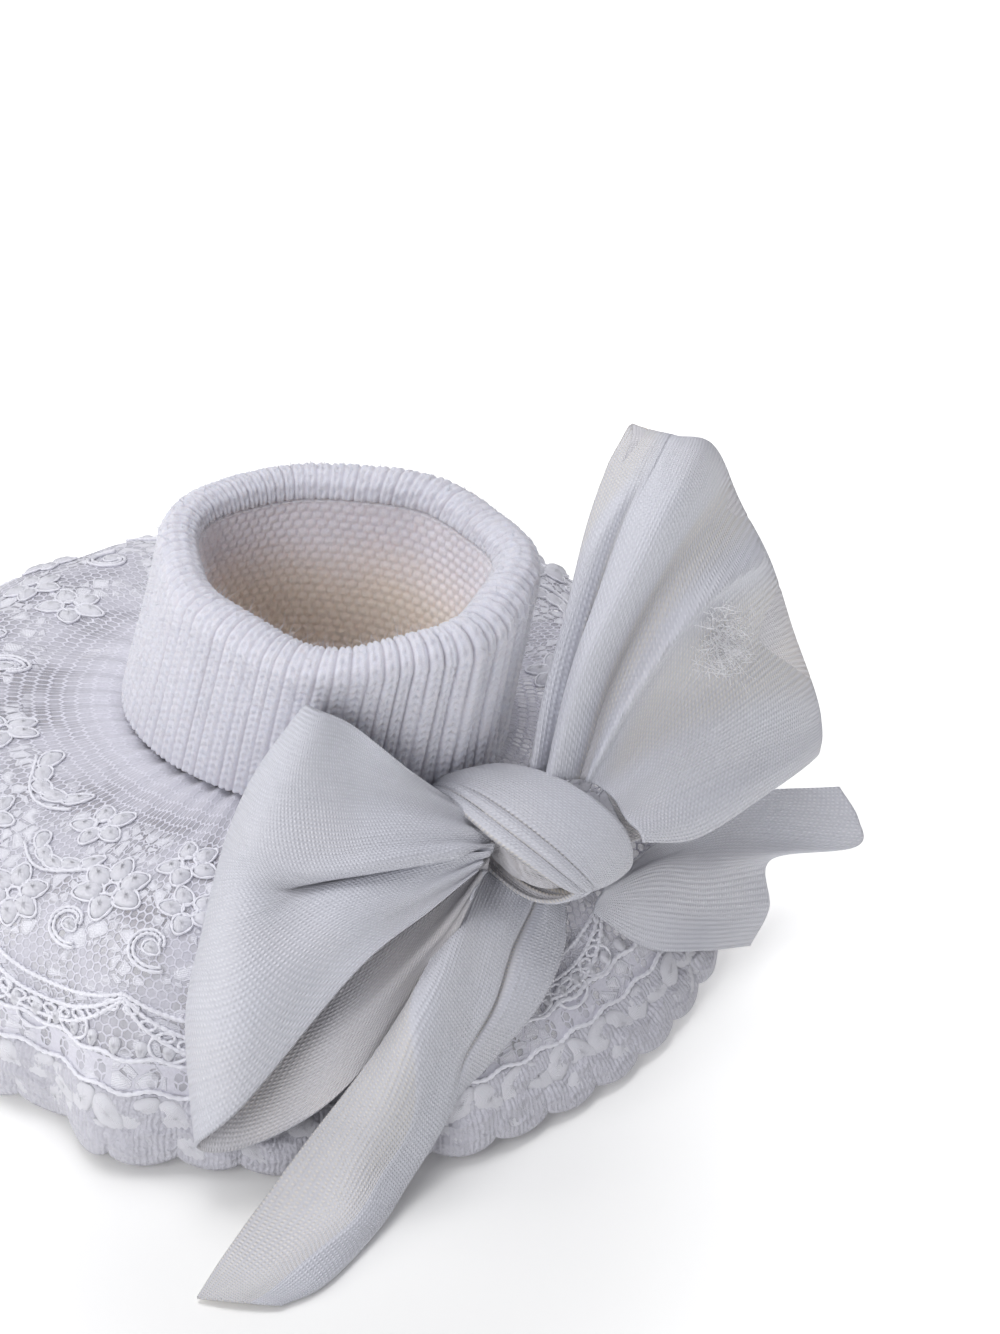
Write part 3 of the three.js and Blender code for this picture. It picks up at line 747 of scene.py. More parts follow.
class BOOTIE_OT_cuff(bpy.types.Operator):
    """Knit the turned cuff with its rolled rim, the ankle tube's inside and the loose fibres"""

    bl_idname = "bootie.cuff"
    bl_label = "Cuff"

    def cuff(self, knit):
        """The cuff: ribs along its length, uneven in width and depth, deeper beside the bow."""
        columns = knit.wales * 8
        angle = np.linspace(0, TAU, columns, endpoint=False)[:, None]
        share = np.linspace(0, 1, 124)[None, :]
        length = ROLL_TOP - CUFF_FOOT + math.pi * FOLD_RADIUS
        wale = angle / TAU * knit.wales + 0.3 * np.sin(3 * angle) + 0.14 * wander(3, 12 * angle, 3 * share)
        course = share * length / knit.course + 0.25 * wander(4, 30 * np.sin(angle), 2 * share)
        deep = 0.12 + 0.5 * np.exp(-(turn_from(angle, math.radians(72)) / 0.55) ** 2)
        height, tone = rib_relief(wale, course, deep, 0.38)
        middle = cuff_middle(angle, share)
        soft = 0.3 * wander(5, 3 * np.cos(angle), 3 * np.sin(angle), 4 * share)
        soft = soft + 0.5 * deep * np.sin(3 * angle * 8 + 0.7) * np.sin(math.pi * np.clip(share, 0, 1))
        middle = middle + square_to(middle, ring=True) * soft[..., None]
        shape = Shape()
        marks = marks_of(columns, share.size + 10, TAU * 20, length)
        closed_cloth(shape, middle, height, tone, marks)
        finish = knit_finish("ribbed yarn", knit.colour)
        piece = shape.build("cuff_rib_knit", [finish])
        settle(piece, "bootie", "knit", "cuff_turnover")
        return middle, finish

    def inside(self, knit):
        """The ankle tube, seen from inside: rows of short dashes on the wrong side of the rib."""
        columns = knit.wales * 6
        angle = np.linspace(0, TAU, columns, endpoint=False)[:, None]
        foot = ANKLE_HEIGHT + KNIT / 2 + GAP
        height = np.linspace(foot, ROLL_TOP - GAP, 112)[None, :]
        middle = slump(ankle_ring(angle, height + 0 * angle), angle)
        wale = angle / TAU * knit.wales
        course = (height - foot) / knit.course + 0.1 * wander(7, 20 * np.sin(angle), height)
        lift, tone = purl_relief(wale, course, 0.32)
        shape = Shape()
        marks = marks_of(columns, height.size + 10, TAU * 16, 27)
        closed_cloth(shape, middle, lift, tone, marks, side=-1)
        # painted light near the rim and painted warm shade lower down, on the inside of the tube
        finish = knit_finish("knitted inside", knit.inside_painted_light_colour, knit.inside_painted_shade_colour)
        settle(shape.build("ankle_inside_knit", [finish]), "bootie", "knit", "ankle_tube")

    def fibres(self, knit, middle, finish):
        """Loose fibres, most of them near the rim."""
        draw = np.random.default_rng(11)
        rows = draw.integers(0, middle.shape[0], knit.fibres)
        columns = (middle.shape[1] * draw.beta(2.4, 1.1, knit.fibres)).astype(int)
        columns = columns.clip(2, middle.shape[1] - 2)
        normal = square_to(middle, ring=True)[rows, columns]
        shape = Shape()
        add_hairs(shape, middle[rows, columns] + normal * (KNIT / 2 - 0.1), normal, (0.7, 2.2), 0.028, 11)
        settle(shape.build("cuff_loose_fibres", [finish]), "bootie", "knit")

    def execute(self, context):
        knit = context.scene.bootie_knit
        middle, finish = self.cuff(knit)
        self.inside(knit)
        self.fibres(knit, middle, finish)
        return {"FINISHED"}


# ---- Lace ----------------------------------------------------------------------------------

def lace_folds(angle, share, press):
    """How far the gathers lift the lace: fine pleats that die out below its heading, and broad
    uneven waves that grow towards the hem."""
    pleats = 0.35 * np.exp(-share / 0.17) * np.cos(44 * angle + 1.4 * np.sin(5 * angle))
    waves = (
        GATHER_SWING * np.cos(GATHERS * angle)
        + 0.8 * np.sin(9 * angle + 0.7) + 0.5 * np.sin(23 * angle + 2.1)
    ) * np.clip(share, 0, 1) ** 2
    swell = 0.9 * np.sin(6 * angle + 1.2 + 2 * share) * np.sin(math.pi * np.clip(share, 0, 1))
    roll = 1.1 * bell(share, 0.035, 0.06)
    return pleats + roll + (waves + swell) * (1 - press)


def lace_point(angle, share, lift=0.0, folds=True):
    """The lace, from its heading out over the shoulder and down to the hem, lifted square to itself.
    Under the bow and its left loop it falls straighter, and it stands fullest on the far side."""
    angle, share = np.broadcast_arrays(np.asarray(angle, float), np.asarray(share, float))
    rise = (LACE_TOP - ANKLE_HEIGHT) / (RIM_HEIGHT - ANKLE_HEIGHT)
    wide = mix(ANKLE_WIDE, RIM_WIDE, rise) + LACE_OUTSIDE
    long = mix(ANKLE_LONG, RIM_LONG, rise) + LACE_OUTSIDE
    top = np.hypot(wide * np.cos(angle), long * np.sin(angle))
    hem = LACE_REACH + LACE_TOE_REACH * np.maximum(0, -np.sin(angle)) ** 4
    puff = LACE_PUFF * bell(turn_from(angle, PUFF_ANGLE), 0, PUFF_SPREAD)
    press = np.maximum(bell(turn_from(angle, PRESS_ANGLE), 0, PRESS_SPREAD),
                       0.8 * bell(turn_from(angle, LOOP_ANGLE), 0, LOOP_SPREAD))
    free = [(top, LACE_TOP), (mix(top, hem, 0.72), LACE_TOP + 2.3 + puff),
            (0.98 * hem, LACE_TOP * 0.85 + puff), (hem, BORDER_THICK)]
    flat = [(top, LACE_TOP), (mix(top, hem, 0.3), LACE_TOP * 0.76),
            (mix(top, hem, 0.66), LACE_TOP * 0.5), (hem, BORDER_THICK)]
    pairs = [(mix(a, c, press), mix(b, d, press)) for (a, b), (c, d) in zip(free, flat)]
    reach, height = bezier(pairs, share)
    ends = zip(bezier(pairs, share + 0.01), bezier(pairs, share - 0.01))
    ahead, below = (after - before for after, before in ends)
    slope = np.hypot(ahead, below)
    if folds:
        lift = lift + lace_folds(angle, share, press)
    reach = reach - below / slope * lift
    height = np.maximum(height + ahead / slope * lift, 0.25)
    return np.stack([reach * np.cos(angle), reach * np.sin(angle), height], -1)


def on_lace(angle, share, x, y, lift):
    """Points of motifs drawn in millimetres round a place on the lace: x runs round it, y down it."""
    middle = lace_point(angle, share)
    reach = np.hypot(middle[..., 0], middle[..., 1])
    turn = angle + x / reach
    down = share + y / LACE_DEPTH
    points = lace_point(turn, down, lift)
    step = 0.004
    beside = lace_point(turn + step, down, lift) - points
    below = lace_point(turn, down + step, lift) - points
    normal = unit(np.cross(beside, below))
    return points, np.where(normal[..., 2:] < 0, -normal, normal)


def add_petal(shape, angle, share, x, y, length, width, tilt, rise=0.12, swell=0.34):
    """Adds a raised petal: an oval, narrower at one end, whose height is a dome with ridges of stitches.
    It lies x round and y down from its place on the lace, turned by its tilt, all in millimetres, and
    swell is its height over its width."""
    turn = np.arange(16) / 16 * TAU
    ring = np.array([0.0, 0.4, 0.75, 0.95, 1.0, 0.0])[:, None]
    dome = np.array([1.0, 0.93, 0.66, 0.3, -0.15, -0.15])[:, None] * (1 + 0.14 * np.cos(8 * turn))
    oval_x = ring * np.cos(turn) * length / 2
    oval_y = ring * np.sin(turn) * width / 2 * (1 - 0.28 * np.cos(turn))
    px = x + oval_x * math.cos(tilt) - oval_y * math.sin(tilt)
    py = y + oval_x * math.sin(tilt) + oval_y * math.cos(tilt)
    points, _ = on_lace(angle, share, px, py, rise + swell * width * dome)
    shape.grid(points, marks_of(6, 16, 4.0, 3.0), rings=(False, True), flip=True, relief=dome)


class BOOTIE_OT_lace(bpy.types.Operator):
    """Make the lace skirt: its net, the embroidery on it and the stitches that hold it"""

    bl_idname = "bootie.lace"
    bl_label = "Lace skirt"

    def net(self, lace):
        """The net itself, a thin sheet from the heading to the scalloped border."""
        rows, columns = 520, 84
        angle = np.linspace(0, TAU, rows, endpoint=False)[:, None]
        share = np.linspace(0, BORDER_SHARE + 0.01, columns)[None, :]
        marks = marks_of(rows, columns - 1, LACE_ROUND, (BORDER_SHARE + 0.01) * LACE_DEPTH)
        shape = Shape()
        shape.grid(lace_point(angle, share), marks, rings=(True, False), flip=True)
        tulle = net_finish("tulle", lace.colour, lace.thread_colour)
        piece = thicken(shape.build("lace_net", [tulle]), 0.16)
        return settle(piece, "bootie", "lace", "lace_ruffle")

    def cords(self, shape, paths, radius, closed, bead):
        """Beaded cords: tubes on the lace whose radius swells and narrows like twisted thread."""
        for angle, share, x, y in paths:
            points, normal = on_lace(angle, share, x, y, 0.3)
            beads = radius * (1 + 0.28 * np.cos(np.arange(x.size) * bead))
            shape.tubes(points[None], beads[None], normal[None], closed=closed)

    def motifs(self, lace):
        """The embroidery on the shoulder: rows of flowers, curls with rings, and sprays of leaves, each
        with its own turn, drawn in millimetres round its place."""
        draw = np.random.default_rng(lace.seed)
        petals, rings, lines = [], [], []
        turn = np.linspace(0, TAU, 18, endpoint=False)
        sweep = np.linspace(0, 1, 44)

        def petal(angle, share, x, y, length, width, tilt):
            petals.append((angle, share, x, y, length, width, tilt))
            ox = 1.12 * length / 2 * np.cos(turn)
            oy = 1.12 * width / 2 * np.sin(turn) * (1 - 0.28 * np.cos(turn))
            rings.append((angle, share, x + ox * math.cos(tilt) - oy * math.sin(tilt),
                          y + ox * math.sin(tilt) + oy * math.cos(tilt)))

        def flower(angle, share, size, spin):
            count = 6 if size > 1 else 5
            for p in range(count):
                way = spin + p / count * TAU + draw.uniform(-0.15, 0.15)
                petal(angle, share, 2.5 * size * math.cos(way), 2.5 * size * math.sin(way),
                      3.1 * size, 2.3 * size, way)
            rings.append((angle, share, 0.9 * np.cos(turn), 0.9 * np.sin(turn)))

        def curl(angle, share, size, side):
            winding = sweep * 5.2
            reach = size * (3.4 - 0.52 * winding)
            lines.append((angle, share, side * reach * np.cos(winding + 1), reach * np.sin(winding + 1)))
            lines.append((angle, share, side * (reach + 0.55) * np.cos(winding + 1),
                          (reach + 0.55) * np.sin(winding + 1)))
            petal(angle, share, 0, 0.4, 2.2 * size, 1.8 * size, 0.5 * side)

        def spray(angle, share, side):
            for leaf in range(5):
                x = side * (2.1 * leaf - 4.2)
                y = 1.8 * math.sin(leaf * 0.9) - 1
                petal(angle, share, x, y, 3.0, 1.7, side * (0.9 - 0.45 * leaf))
            lines.append((angle, share, side * (11 * sweep - 5.5), 1.8 * np.sin(sweep * 4.2) + 0.6))

        for share, count, start in ((0.21, 17, 0.0), (0.345, 23, 0.1), (0.475, 25, 0.05)):
            for k in range(count):
                angle = start + (k + draw.uniform(-0.14, 0.14)) / count * TAU
                place = share + draw.uniform(-0.02, 0.02)
                kind = (k + int(share * 20)) % 4
                side = 1 if draw.random() < 0.5 else -1
                if kind in (0, 2):
                    flower(angle, place, 1.15 if kind == 0 and share > 0.3 else 0.85, draw.uniform(0, 1))
                elif kind == 1:
                    curl(angle, place, 0.9, side)
                else:
                    spray(angle, place, side)
        return petals, rings, lines

    def arcs(self, lace):
        """Arcs of cord that hang like garlands between flowers, three abreast, with ovals on them."""
        sweep = np.linspace(-1, 1, 90)
        turn = np.linspace(0, TAU, 22, endpoint=False)
        lines, rings = [], []
        half = math.pi / lace.repeats
        for k in range(lace.repeats):
            angle = (k + 0.5) / lace.repeats * TAU
            for lane in range(3):
                drop = (6.2 - 1.9 * lane) * (1 - np.abs(sweep) ** 2.2)
                lines.append((angle + sweep * half, 0.60 + 0 * sweep, 0 * sweep, drop + 1.0 - lane * 0.4))
            for oval in range(11):
                s = -0.9 + oval * 0.18
                drop = 5.25 * (1 - abs(s) ** 2.2) + 0.8
                rings.append((angle + s * half, 0.60, 0.825 * np.cos(turn), drop + 0.6 * np.sin(turn)))
            for hole in (-0.5, 0.0, 0.5):
                drop = 9.6 - 3.2 * abs(hole)
                rings.append((angle + hole * half, 0.60, 2.2 * np.cos(turn), drop + 1.9 * np.sin(turn) - 2.0))
        return lines, rings

    def edges(self, shape):
        """The two cords that run round the lace over its border and over its strip of eyelets."""
        for edge in (38.0, BORDER_SHARE * LACE_DEPTH):
            ring = np.linspace(0, TAU, 900, endpoint=False)
            share = edge / LACE_DEPTH + 0 * ring
            points, normal = on_lace(ring, share, 0 * ring, 0.3 * np.sin(ring * 53), 0.3)
            beads = 0.3 * (1 + 0.25 * np.cos(np.arange(900) * 2.1))
            shape.tubes(points[None], beads[None], normal[None], closed=True)

    def execute(self, context):
        lace = context.scene.bootie_lace
        net = self.net(lace)
        petals, rings, lines = self.motifs(lace)
        arcs, ovals = self.arcs(lace)
        thread = embroidery_finish("embroidery thread", lace.thread_colour)
        raised = Shape()
        bars = [(k / EYELETS * TAU, 0.735, 0, 0, 2.3, 1.5, math.pi / 2) for k in range(EYELETS)]
        for petal in petals + bars:
            add_petal(raised, *petal)
        settle(raised.build("lace_petals", [thread], weld=True), "bootie", "lace")
        outlines = Shape()
        self.cords(outlines, rings, 0.17, True, 2.2)
        settle(outlines.build("lace_outlines", [thread]), "bootie", "lace")
        cords = Shape()
        self.cords(cords, ovals, 0.22, True, 1.9)
        self.cords(cords, lines, 0.24, False, 2.3)
        self.cords(cords, arcs, 0.27, False, 2.0)
        self.edges(cords)
        settle(cords.build("lace_cords", [thread]), "bootie", "lace")
        return {"FINISHED"}


class BOOTIE_OT_border(bpy.types.Operator):
    """Make the dense scalloped edging of the lace"""

    bl_idname = "bootie.border"
    bl_label = "Scalloped border"

    def execute(self, context):
        lace = context.scene.bootie_lace
        rows, columns = 1440, 18
        angle = np.linspace(0, TAU, rows, endpoint=False)[:, None]
        down = np.linspace(0, 1, columns)[None, :]
        scallop = np.abs(np.sin(lace.scallops / 2 * angle)) ** 0.6
        share = mix(BORDER_SHARE, 1.0 - 0.022 * (1 - scallop), down)
        rib = 0.05 * np.cos(angle * 480 + 2 * down) * np.sin(math.pi * down)
        puffy = 0.3 * wander(21, 70 * angle, 9 * down) + 0.2 * wander(22, 150 * angle, 14 * down)
        rib = rib + puffy * np.sin(math.pi * down)
        cushion = 0.45 * np.sin(math.pi * down) ** 0.5 - 0.3 * bell(down, 0.42, 0.08)
        skin = lace_point(angle, share, rib + cushion + 0.3 * scallop * down)
        shape = Shape()
        marks = marks_of(rows, columns - 1, LACE_ROUND, (1 - BORDER_SHARE) * LACE_DEPTH)
        shape.grid(skin, marks, rings=(True, False), flip=True)
        edging = border_finish("edging", shade(lace.colour, 0.9))
        piece = thicken(shape.build("lace_scalloped_edge", [edging]), 0.55)
        settle(piece, "bootie", "lace", "scalloped_border")

        pads = Shape()
        for row, place, size in ((0, 0.888, 1.0), (0.5, 0.95, 0.85)):
            for k in range(lace.scallops * 2):
                at = (k + row) / (lace.scallops * 2) * TAU
                add_petal(pads, at, place, 0, 0.25 * (-1) ** k, 5.2 * size, 3.3 * size, 0.7 * (-1) ** k,
                          0.5, 0.09)
        thread = embroidery_finish("edging thread", shade(lace.thread_colour, 0.93))
        settle(pads.build("lace_edge_pads", [thread], weld=True), "bootie", "lace")
        return {"FINISHED"}


# ---- Bow -----------------------------------------------------------------------------------

# Nets of points that the ribbons pass through: each row lies across the ribbon, and the rows run
# along it from the knot. A loop's rows go out to its fold and come back. A scratch script worked
# these points out on the CAD solids, to half a millimetre, and some were then moved by hand.
LEFT_LOOP = [
    [(15.5, 26.5, 34.5), (15, 30, 31.5), (16, 32.5, 30), (17.5, 33, 30), (19, 32.5, 29.5), (20.5, 32.5, 29)],
    [(19.5, 22, 41.5), (21.5, 23, 37.5), (26.5, 25.5, 34), (25, 25, 31), (29, 27.5, 30.5), (29, 30, 28.5)],
    [(20, 16.5, 45.5), (26, 18, 40.5), (33, 19, 35), (33, 18.5, 32), (38, 22, 31), (40, 25.5, 26.5)],
    [(22, 13, 48), (28.5, 11.5, 40.5), (35, 11, 34.5), (42, 12, 31), (48.5, 15, 25), (53.5, 17, 14)],
    [(21.5, 11, 48), (27, 7, 40.5), (32.5, 5.5, 33.5), (41.5, 7, 27.5), (49.5, 8.5, 21), (55, 11.5, 6.5)],
    [(19.5, 11, 45), (24.5, 8.5, 36), (33.5, 8.5, 28.5), (42.5, 11, 22), (48.5, 13.5, 14), (52.5, 17, 6.5)],
    [(17.5, 14.5, 42), (22, 16, 35), (31, 18.5, 28.5), (38.5, 21.5, 23), (43.5, 24.5, 18), (46, 26.5, 13.5)],
    [(16.5, 21, 37.5), (18.5, 22.5, 31.5), (23, 25.5, 28.5), (27.5, 28.5, 25.5), (30, 30.5, 24),
     (30, 31.5, 21.5)],
    [(14, 26, 32.5), (14, 29.5, 30), (15.5, 31.5, 29), (17.5, 32.5, 28), (19.5, 32.5, 27.5),
     (22, 32.5, 26.5)],
]
RIGHT_LOOP = [
    [(2.5, 32, 31.5), (2.5, 35, 31.5), (2.5, 38.5, 31.5), (2.5, 40.5, 31.5), (3, 42.5, 30.5), (3.5, 44, 28.5),
     (5.5, 47, 26)],
    [(-5, 33, 43), (-4.5, 36, 45), (-4.5, 39.5, 44), (-5.5, 43.5, 41), (-5.5, 46.5, 35.5), (-4.5, 48.5, 30.5),
     (-2, 51, 23.5)],
    [(-11.5, 34, 58.5), (-11.5, 38.5, 59.5), (-13, 43, 58), (-13.5, 47, 50.5), (-15, 51.5, 40),
     (-16, 53.5, 30), (-14.5, 55.5, 23)],
    [(-17, 36.5, 70.5), (-18, 41.5, 70), (-20.5, 45.5, 68), (-22.5, 51, 56), (-24.5, 56, 42.5),
     (-26.5, 59, 29), (-25.5, 59.5, 23)],
]
LONG_TAIL = [
    [(6, 37, 20), (8.5, 35.5, 21.5), (10.5, 33.5, 24), (11, 31.5, 25), (12, 30, 25.5)],
    [(8.5, 39, 17), (12, 37, 19.5), (14.5, 34, 21.5), (16, 31, 23.5), (16, 29, 23.5)],
    [(14, 41, 14.5), (19.5, 37.5, 18), (23.5, 35, 21), (26, 32.5, 23.5), (25.5, 30.5, 22.5)],
    [(22.5, 41.5, 13), (28, 38.5, 16), (31, 36, 18.5), (33.5, 33, 21.5), (33, 31.5, 21)],
    [(31, 39.5, 11), (35, 37.5, 13), (38, 35, 15.5), (40, 32.5, 18), (39.5, 29.5, 17.5)],
    [(38.5, 36.5, 7.5), (40.5, 36.5, 8), (43, 34, 10), (45.5, 31.5, 12.5), (46, 26.5, 13)],
    [(46.5, 34, 2.5), (47, 34.5, 3.5), (48.5, 32, 5), (50, 29.5, 7), (50.5, 23.5, 8)],
    [(53, 33, 0.6), (53.5, 33.5, 1.2), (56, 31.5, 2), (56.5, 28.5, 2.4), (57, 20, 1.6)],
    [(63.5, 31, 0.4), (64, 31.5, 0.8), (65.5, 28.5, 1.4), (66, 25.5, 1.6), (65.5, 19.5, 0.9)],
    [(68.5, 28.5, 0.4), (69, 28.5, 0.7), (70, 26, 0.9), (71, 22.5, 0.9), (71.5, 19.5, 0.6)],
]
BACK_TAIL = [
    [(6, 43.5, 20.5), (6.5, 43, 20), (7.5, 43.5, 20), (8, 43.5, 19.5), (8.5, 43, 18.5), (9.5, 43, 17.5)],
    [(-5, 47, 20), (-3.5, 47, 19.5), (-2, 47.5, 19), (0.5, 47.5, 19), (3, 48.5, 15), (5.5, 48.5, 10.5)],
    [(-18, 51.5, 18.5), (-16.5, 52.5, 16.5), (-13.5, 53, 15), (-6, 52, 15.5), (-4, 53.5, 10.5), (0, 54, 7.5)],
    [(-28.5, 62, 15.5), (-28, 65, 11.5), (-26, 65.5, 8.5), (-17, 57, 10.5), (-14, 58, 5), (-10, 57, 1.5)],
]
LOOP_GAP = 4.6                          # between a loop's two layers
STRIP_WAY = np.array([0.39, -0.92, 0.0])   # the way in which the right loop's turned edge shows


def knot_point(along, out, up):
    """Points of the knot's own frame, as an array."""
    return (KNOT + np.multiply.outer(along, BOW_ALONG) + np.multiply.outer(out, BOW_OUT)
            + np.multiply.outer(up, BOW_UP))


def ribbon(name, skin, lift, satin, body, nodes, size, flip=False):
    """Makes a ribbon from its grid of points, woven on both sides, with UV marks in millimetres of
    its cut size.
    Lift is how far its folds stand, in millimetres, below 0 in its creases; where it is low, the
    satin is painted with warm shade."""
    rows, columns = skin.shape[:2]
    shape = Shape()
    shape.grid(skin, marks_of(rows - 1, columns - 1, size[1], size[0]), flip=flip,
               relief=np.clip(0.5 + lift * 0.3, 0, 1))
    face = satin_finish(name + " face", satin.colour, satin.warm_colour)
    back = satin_finish(name + " back", satin.warm_colour, satin.reverse_colour)
    piece = thicken(shape.build(name, [face, back]), RIBBON_THICK, back=1)
    settle(piece, body, "satin", *nodes)


class BOOTIE_OT_loops(bpy.types.Operator):
    """Fold the bow's two loops out of ribbon"""

    bl_idname = "bootie.loops"
    bl_label = "Bow loops"

    def left(self, satin):
        """The left loop: its net, with fine gathers that spread from the knot on both layers."""
        skin = patch(LEFT_LOOP, 210, 120)
        t = np.linspace(0, 1, 210)[:, None]
        w = np.linspace(0, 1, 120)[None, :]
        near = np.abs(2 * t - 1)
        pleats = 0.5 * near ** 2.2 * np.cos(TAU * (5.5 * w + 0.3)) * np.sin(math.pi * w) ** 0.5
        crease = 1.4 * bell(w, 0.43, 0.05) - 2.6 * bell(w, 0.53, 0.04) + 1.0 * bell(w, 0.68, 0.09)
        crease = crease * ease(0.40, 0.12, t) * ease(0.0, 0.06, t)
        puff = (2.8 * bell(t, 0.37, 0.08) + 1.2 * bell(t, 0.63, 0.08)) * np.sin(math.pi * w) ** 0.5
        dent = -1.3 * bell(t, 0.22, 0.1) * bell(w, 0.2, 0.14)
        soft = 0.3 * wander(31, 7 * t, 4 * w) * (1 - near ** 4)
        lift = pleats + crease + puff + dent + soft
        skin = skin + square_to(skin) * lift[..., None]
        # painted shade: the pleats and the crease lower the relief, so the satin is painted warm in their
        # hollows
        ribbon("bow_left_loop", skin, pleats + crease, satin, "left_loop", ["bow_loop_left"], (44, 76))

    def right(self, satin):
        """The right loop: tube-like pleats beside its left edge, a thin ridge down its middle and a
        hollow beyond it. Its left edge is turned over in a strip, and its back layer is plain and a
        tenth narrower."""
        rows, columns = 220, 130
        turn = np.linspace(0, math.pi, rows)[:, None]
        s = np.sin(turn)
        w = np.linspace(0, 1, columns)[None, :]
        front = spline(RIGHT_LOOP, s.ravel())
        grid = spline(front.swapaxes(0, 1), w.ravel()).swapaxes(0, 1)
        flat = patch(RIGHT_LOOP, 100, columns)
        normal = square_to(flat)
        normal = normal[(s.ravel() * 99).round().astype(int)]
        fade = np.clip(1 - 0.8 * s, 0, 1)
        tube, ridge = mix(0.19, 0.29, s), mix(0.40, 0.54, s)
        pleats = (
            1.7 * bell(w, 0.05, 0.05) * fade - 2.4 * bell(w, mix(0.11, 0.14, s), 0.025) * fade ** 0.5
            + 3.0 * bell(w, tube, mix(0.055, 0.09, s)) * fade ** 0.5
            - 2.8 * bell(w, (tube + ridge) / 2 + 0.03, mix(0.04, 0.06, s)) * fade ** 0.4
            + 1.7 * bell(w, ridge, 0.018) * np.sin(math.pi * np.clip(s * 1.02, 0, 1)) ** 0.35
            - 3.4 * bell(w, ridge + 0.15, 0.1) * s ** 0.5 * (1 - 0.3 * s)
            + 0.9 * bell(w, 0.95, 0.05) * fade ** 0.5
        )
        strip = np.clip(1 - w / mix(0.02, 0.15, ease(0.4, 0.95, s)), 0, 1)
        pleats = pleats * (1 - 0.6 * ease(0.35, 0.9, s) * (w < 0.15))
        pleats = pleats - 4.2 * strip ** 1.2 * ease(0.4, 0.9, s)
        layer = np.cos(turn)
        lift = pleats * ease(-0.4, 0.3, layer) + layer * mix(1.6, LOOP_GAP, s) / 2
        lift = lift + 0.3 * wander(33, 6 * s, 5 * w)
        way = 1.6 * strip * ease(0.4, 0.8, s) * (1 - 0.6 * ease(0.85, 1.0, s))
        skin = grid - normal * lift[..., None] + STRIP_WAY * way[..., None]
        inward = 0.10 * ease(0.3, -0.7, layer)
        skin = skin + (grid[:, columns // 2, None] - grid) * inward[..., None]
        # painted shade: the front layer's pleats lower the relief, so the satin is painted warm in their
        # hollows
        ribbon("bow_right_loop", skin, pleats * (layer > 0), satin, "right_loop", ["bow_loop_right"],
               (46, 75), flip=True)
        self.lint(skin)

    def lint(self, skin):
        """A patch of white fluff caught on the right loop's front."""
        rows, columns = skin.shape[:2]
        draw = np.random.default_rng(61)
        count = 420
        rows_at = (rows * (0.235 + 0.022 * draw.normal(size=count))).astype(int).clip(4, rows // 2 - 4)
        columns_at = (columns * (0.6 + 0.035 * draw.normal(size=count))).astype(int).clip(2, columns - 3)
        out = -square_to(skin)[rows_at, columns_at]
        lint = Shape()
        height = 0.3 + 1.3 * draw.random((count, 1)) ** 2
        add_hairs(lint, skin[rows_at, columns_at] + height * out, 0.6 * out, (1.0, 3.4), 0.045, 62)
        fluff = Finish("lint", Roughness=1.0, Sheen_Weight=0.5)
        fluff.set({"Base Color": fluff.blend(fluff.noise(2.0), (0.9, 0.9, 0.94), (1.0, 1.0, 1.0))})
        settle(lint.build("bow_lint", [fluff.material]), "right_loop", "knit")

    def execute(self, context):
        satin = context.scene.bootie_satin
        self.left(satin)
        self.right(satin)
        return {"FINISHED"}


class BOOTIE_OT_tails(bpy.types.Operator):
    """Lay the bow's two tails over the lace"""

    bl_idname = "bootie.tails"
    bl_label = "Bow tails"

    def long(self, satin):
        """The long tail: fine gathers at the knot, one crease, and a bend that runs from its edge to its
        middle. The gathers and the crease are painted with warm shade, what lies past the bend takes
        the warm tone of the ribbon's reverse in the same way, and the tail's end lies on the ground."""
        t = np.linspace(0, 1, 220)[:, None]
        w = np.linspace(0, 1, 72)[None, :]
        skin = patch(LONG_TAIL, 220, 72)
        pleats = 0.5 * np.exp(-t / 0.16) * np.cos(TAU * (3.2 * w + 2.5 * t))
        fold = -0.9 * bell(w, 0.27, 0.03) * ease(0.6, 0.3, t)
        bend = mix(0.95, 0.5, ease(0.25, 0.65, t))
        ridge = 1.7 * np.clip(1 - np.abs(w - bend) / 0.44, 0, 1) * ease(0.15, 0.4, t) * ease(1.0, 0.8, t)
        turned = ease(0, 0.05, w - bend) * ease(0.2, 0.35, t)
        lift = pleats + fold + ridge + 0.12 * wander(41, 20 * t, 3 * w)
        skin = skin - square_to(skin) * lift[..., None]
        skin[..., 2] = np.maximum(skin[..., 2], 0.35)
        # painted shade in the gathers and the crease; the part past the bend gets the same warm tone, as the
        # ribbon's reverse
        ribbon("bow_long_tail", skin, pleats + 2 * fold - 1.5 * turned, satin, "long_tail", ["bow_tail_long"],
               (17, 72), flip=True)

    def back(self, satin):
        """The back tail: its net, unevenly soft."""
        skin = patch(BACK_TAIL, 110, 100)
        t = np.linspace(0, 1, 110)[:, None]
        w = np.linspace(0, 1, 100)[None, :]
        soft = 0.5 * wander(43, 6 * t, 7 * w) * np.sin(math.pi * t)
        skin = skin + square_to(skin) * soft[..., None]
        # painted shade: where the soft dips sink, the satin is painted warm
        ribbon("bow_back_tail", skin, soft, satin, "back_tail", ["bow_tail_back"], (20, 36), flip=True)

    def execute(self, context):
        satin = context.scene.bootie_satin
        self.long(satin)
        self.back(satin)
        return {"FINISHED"}


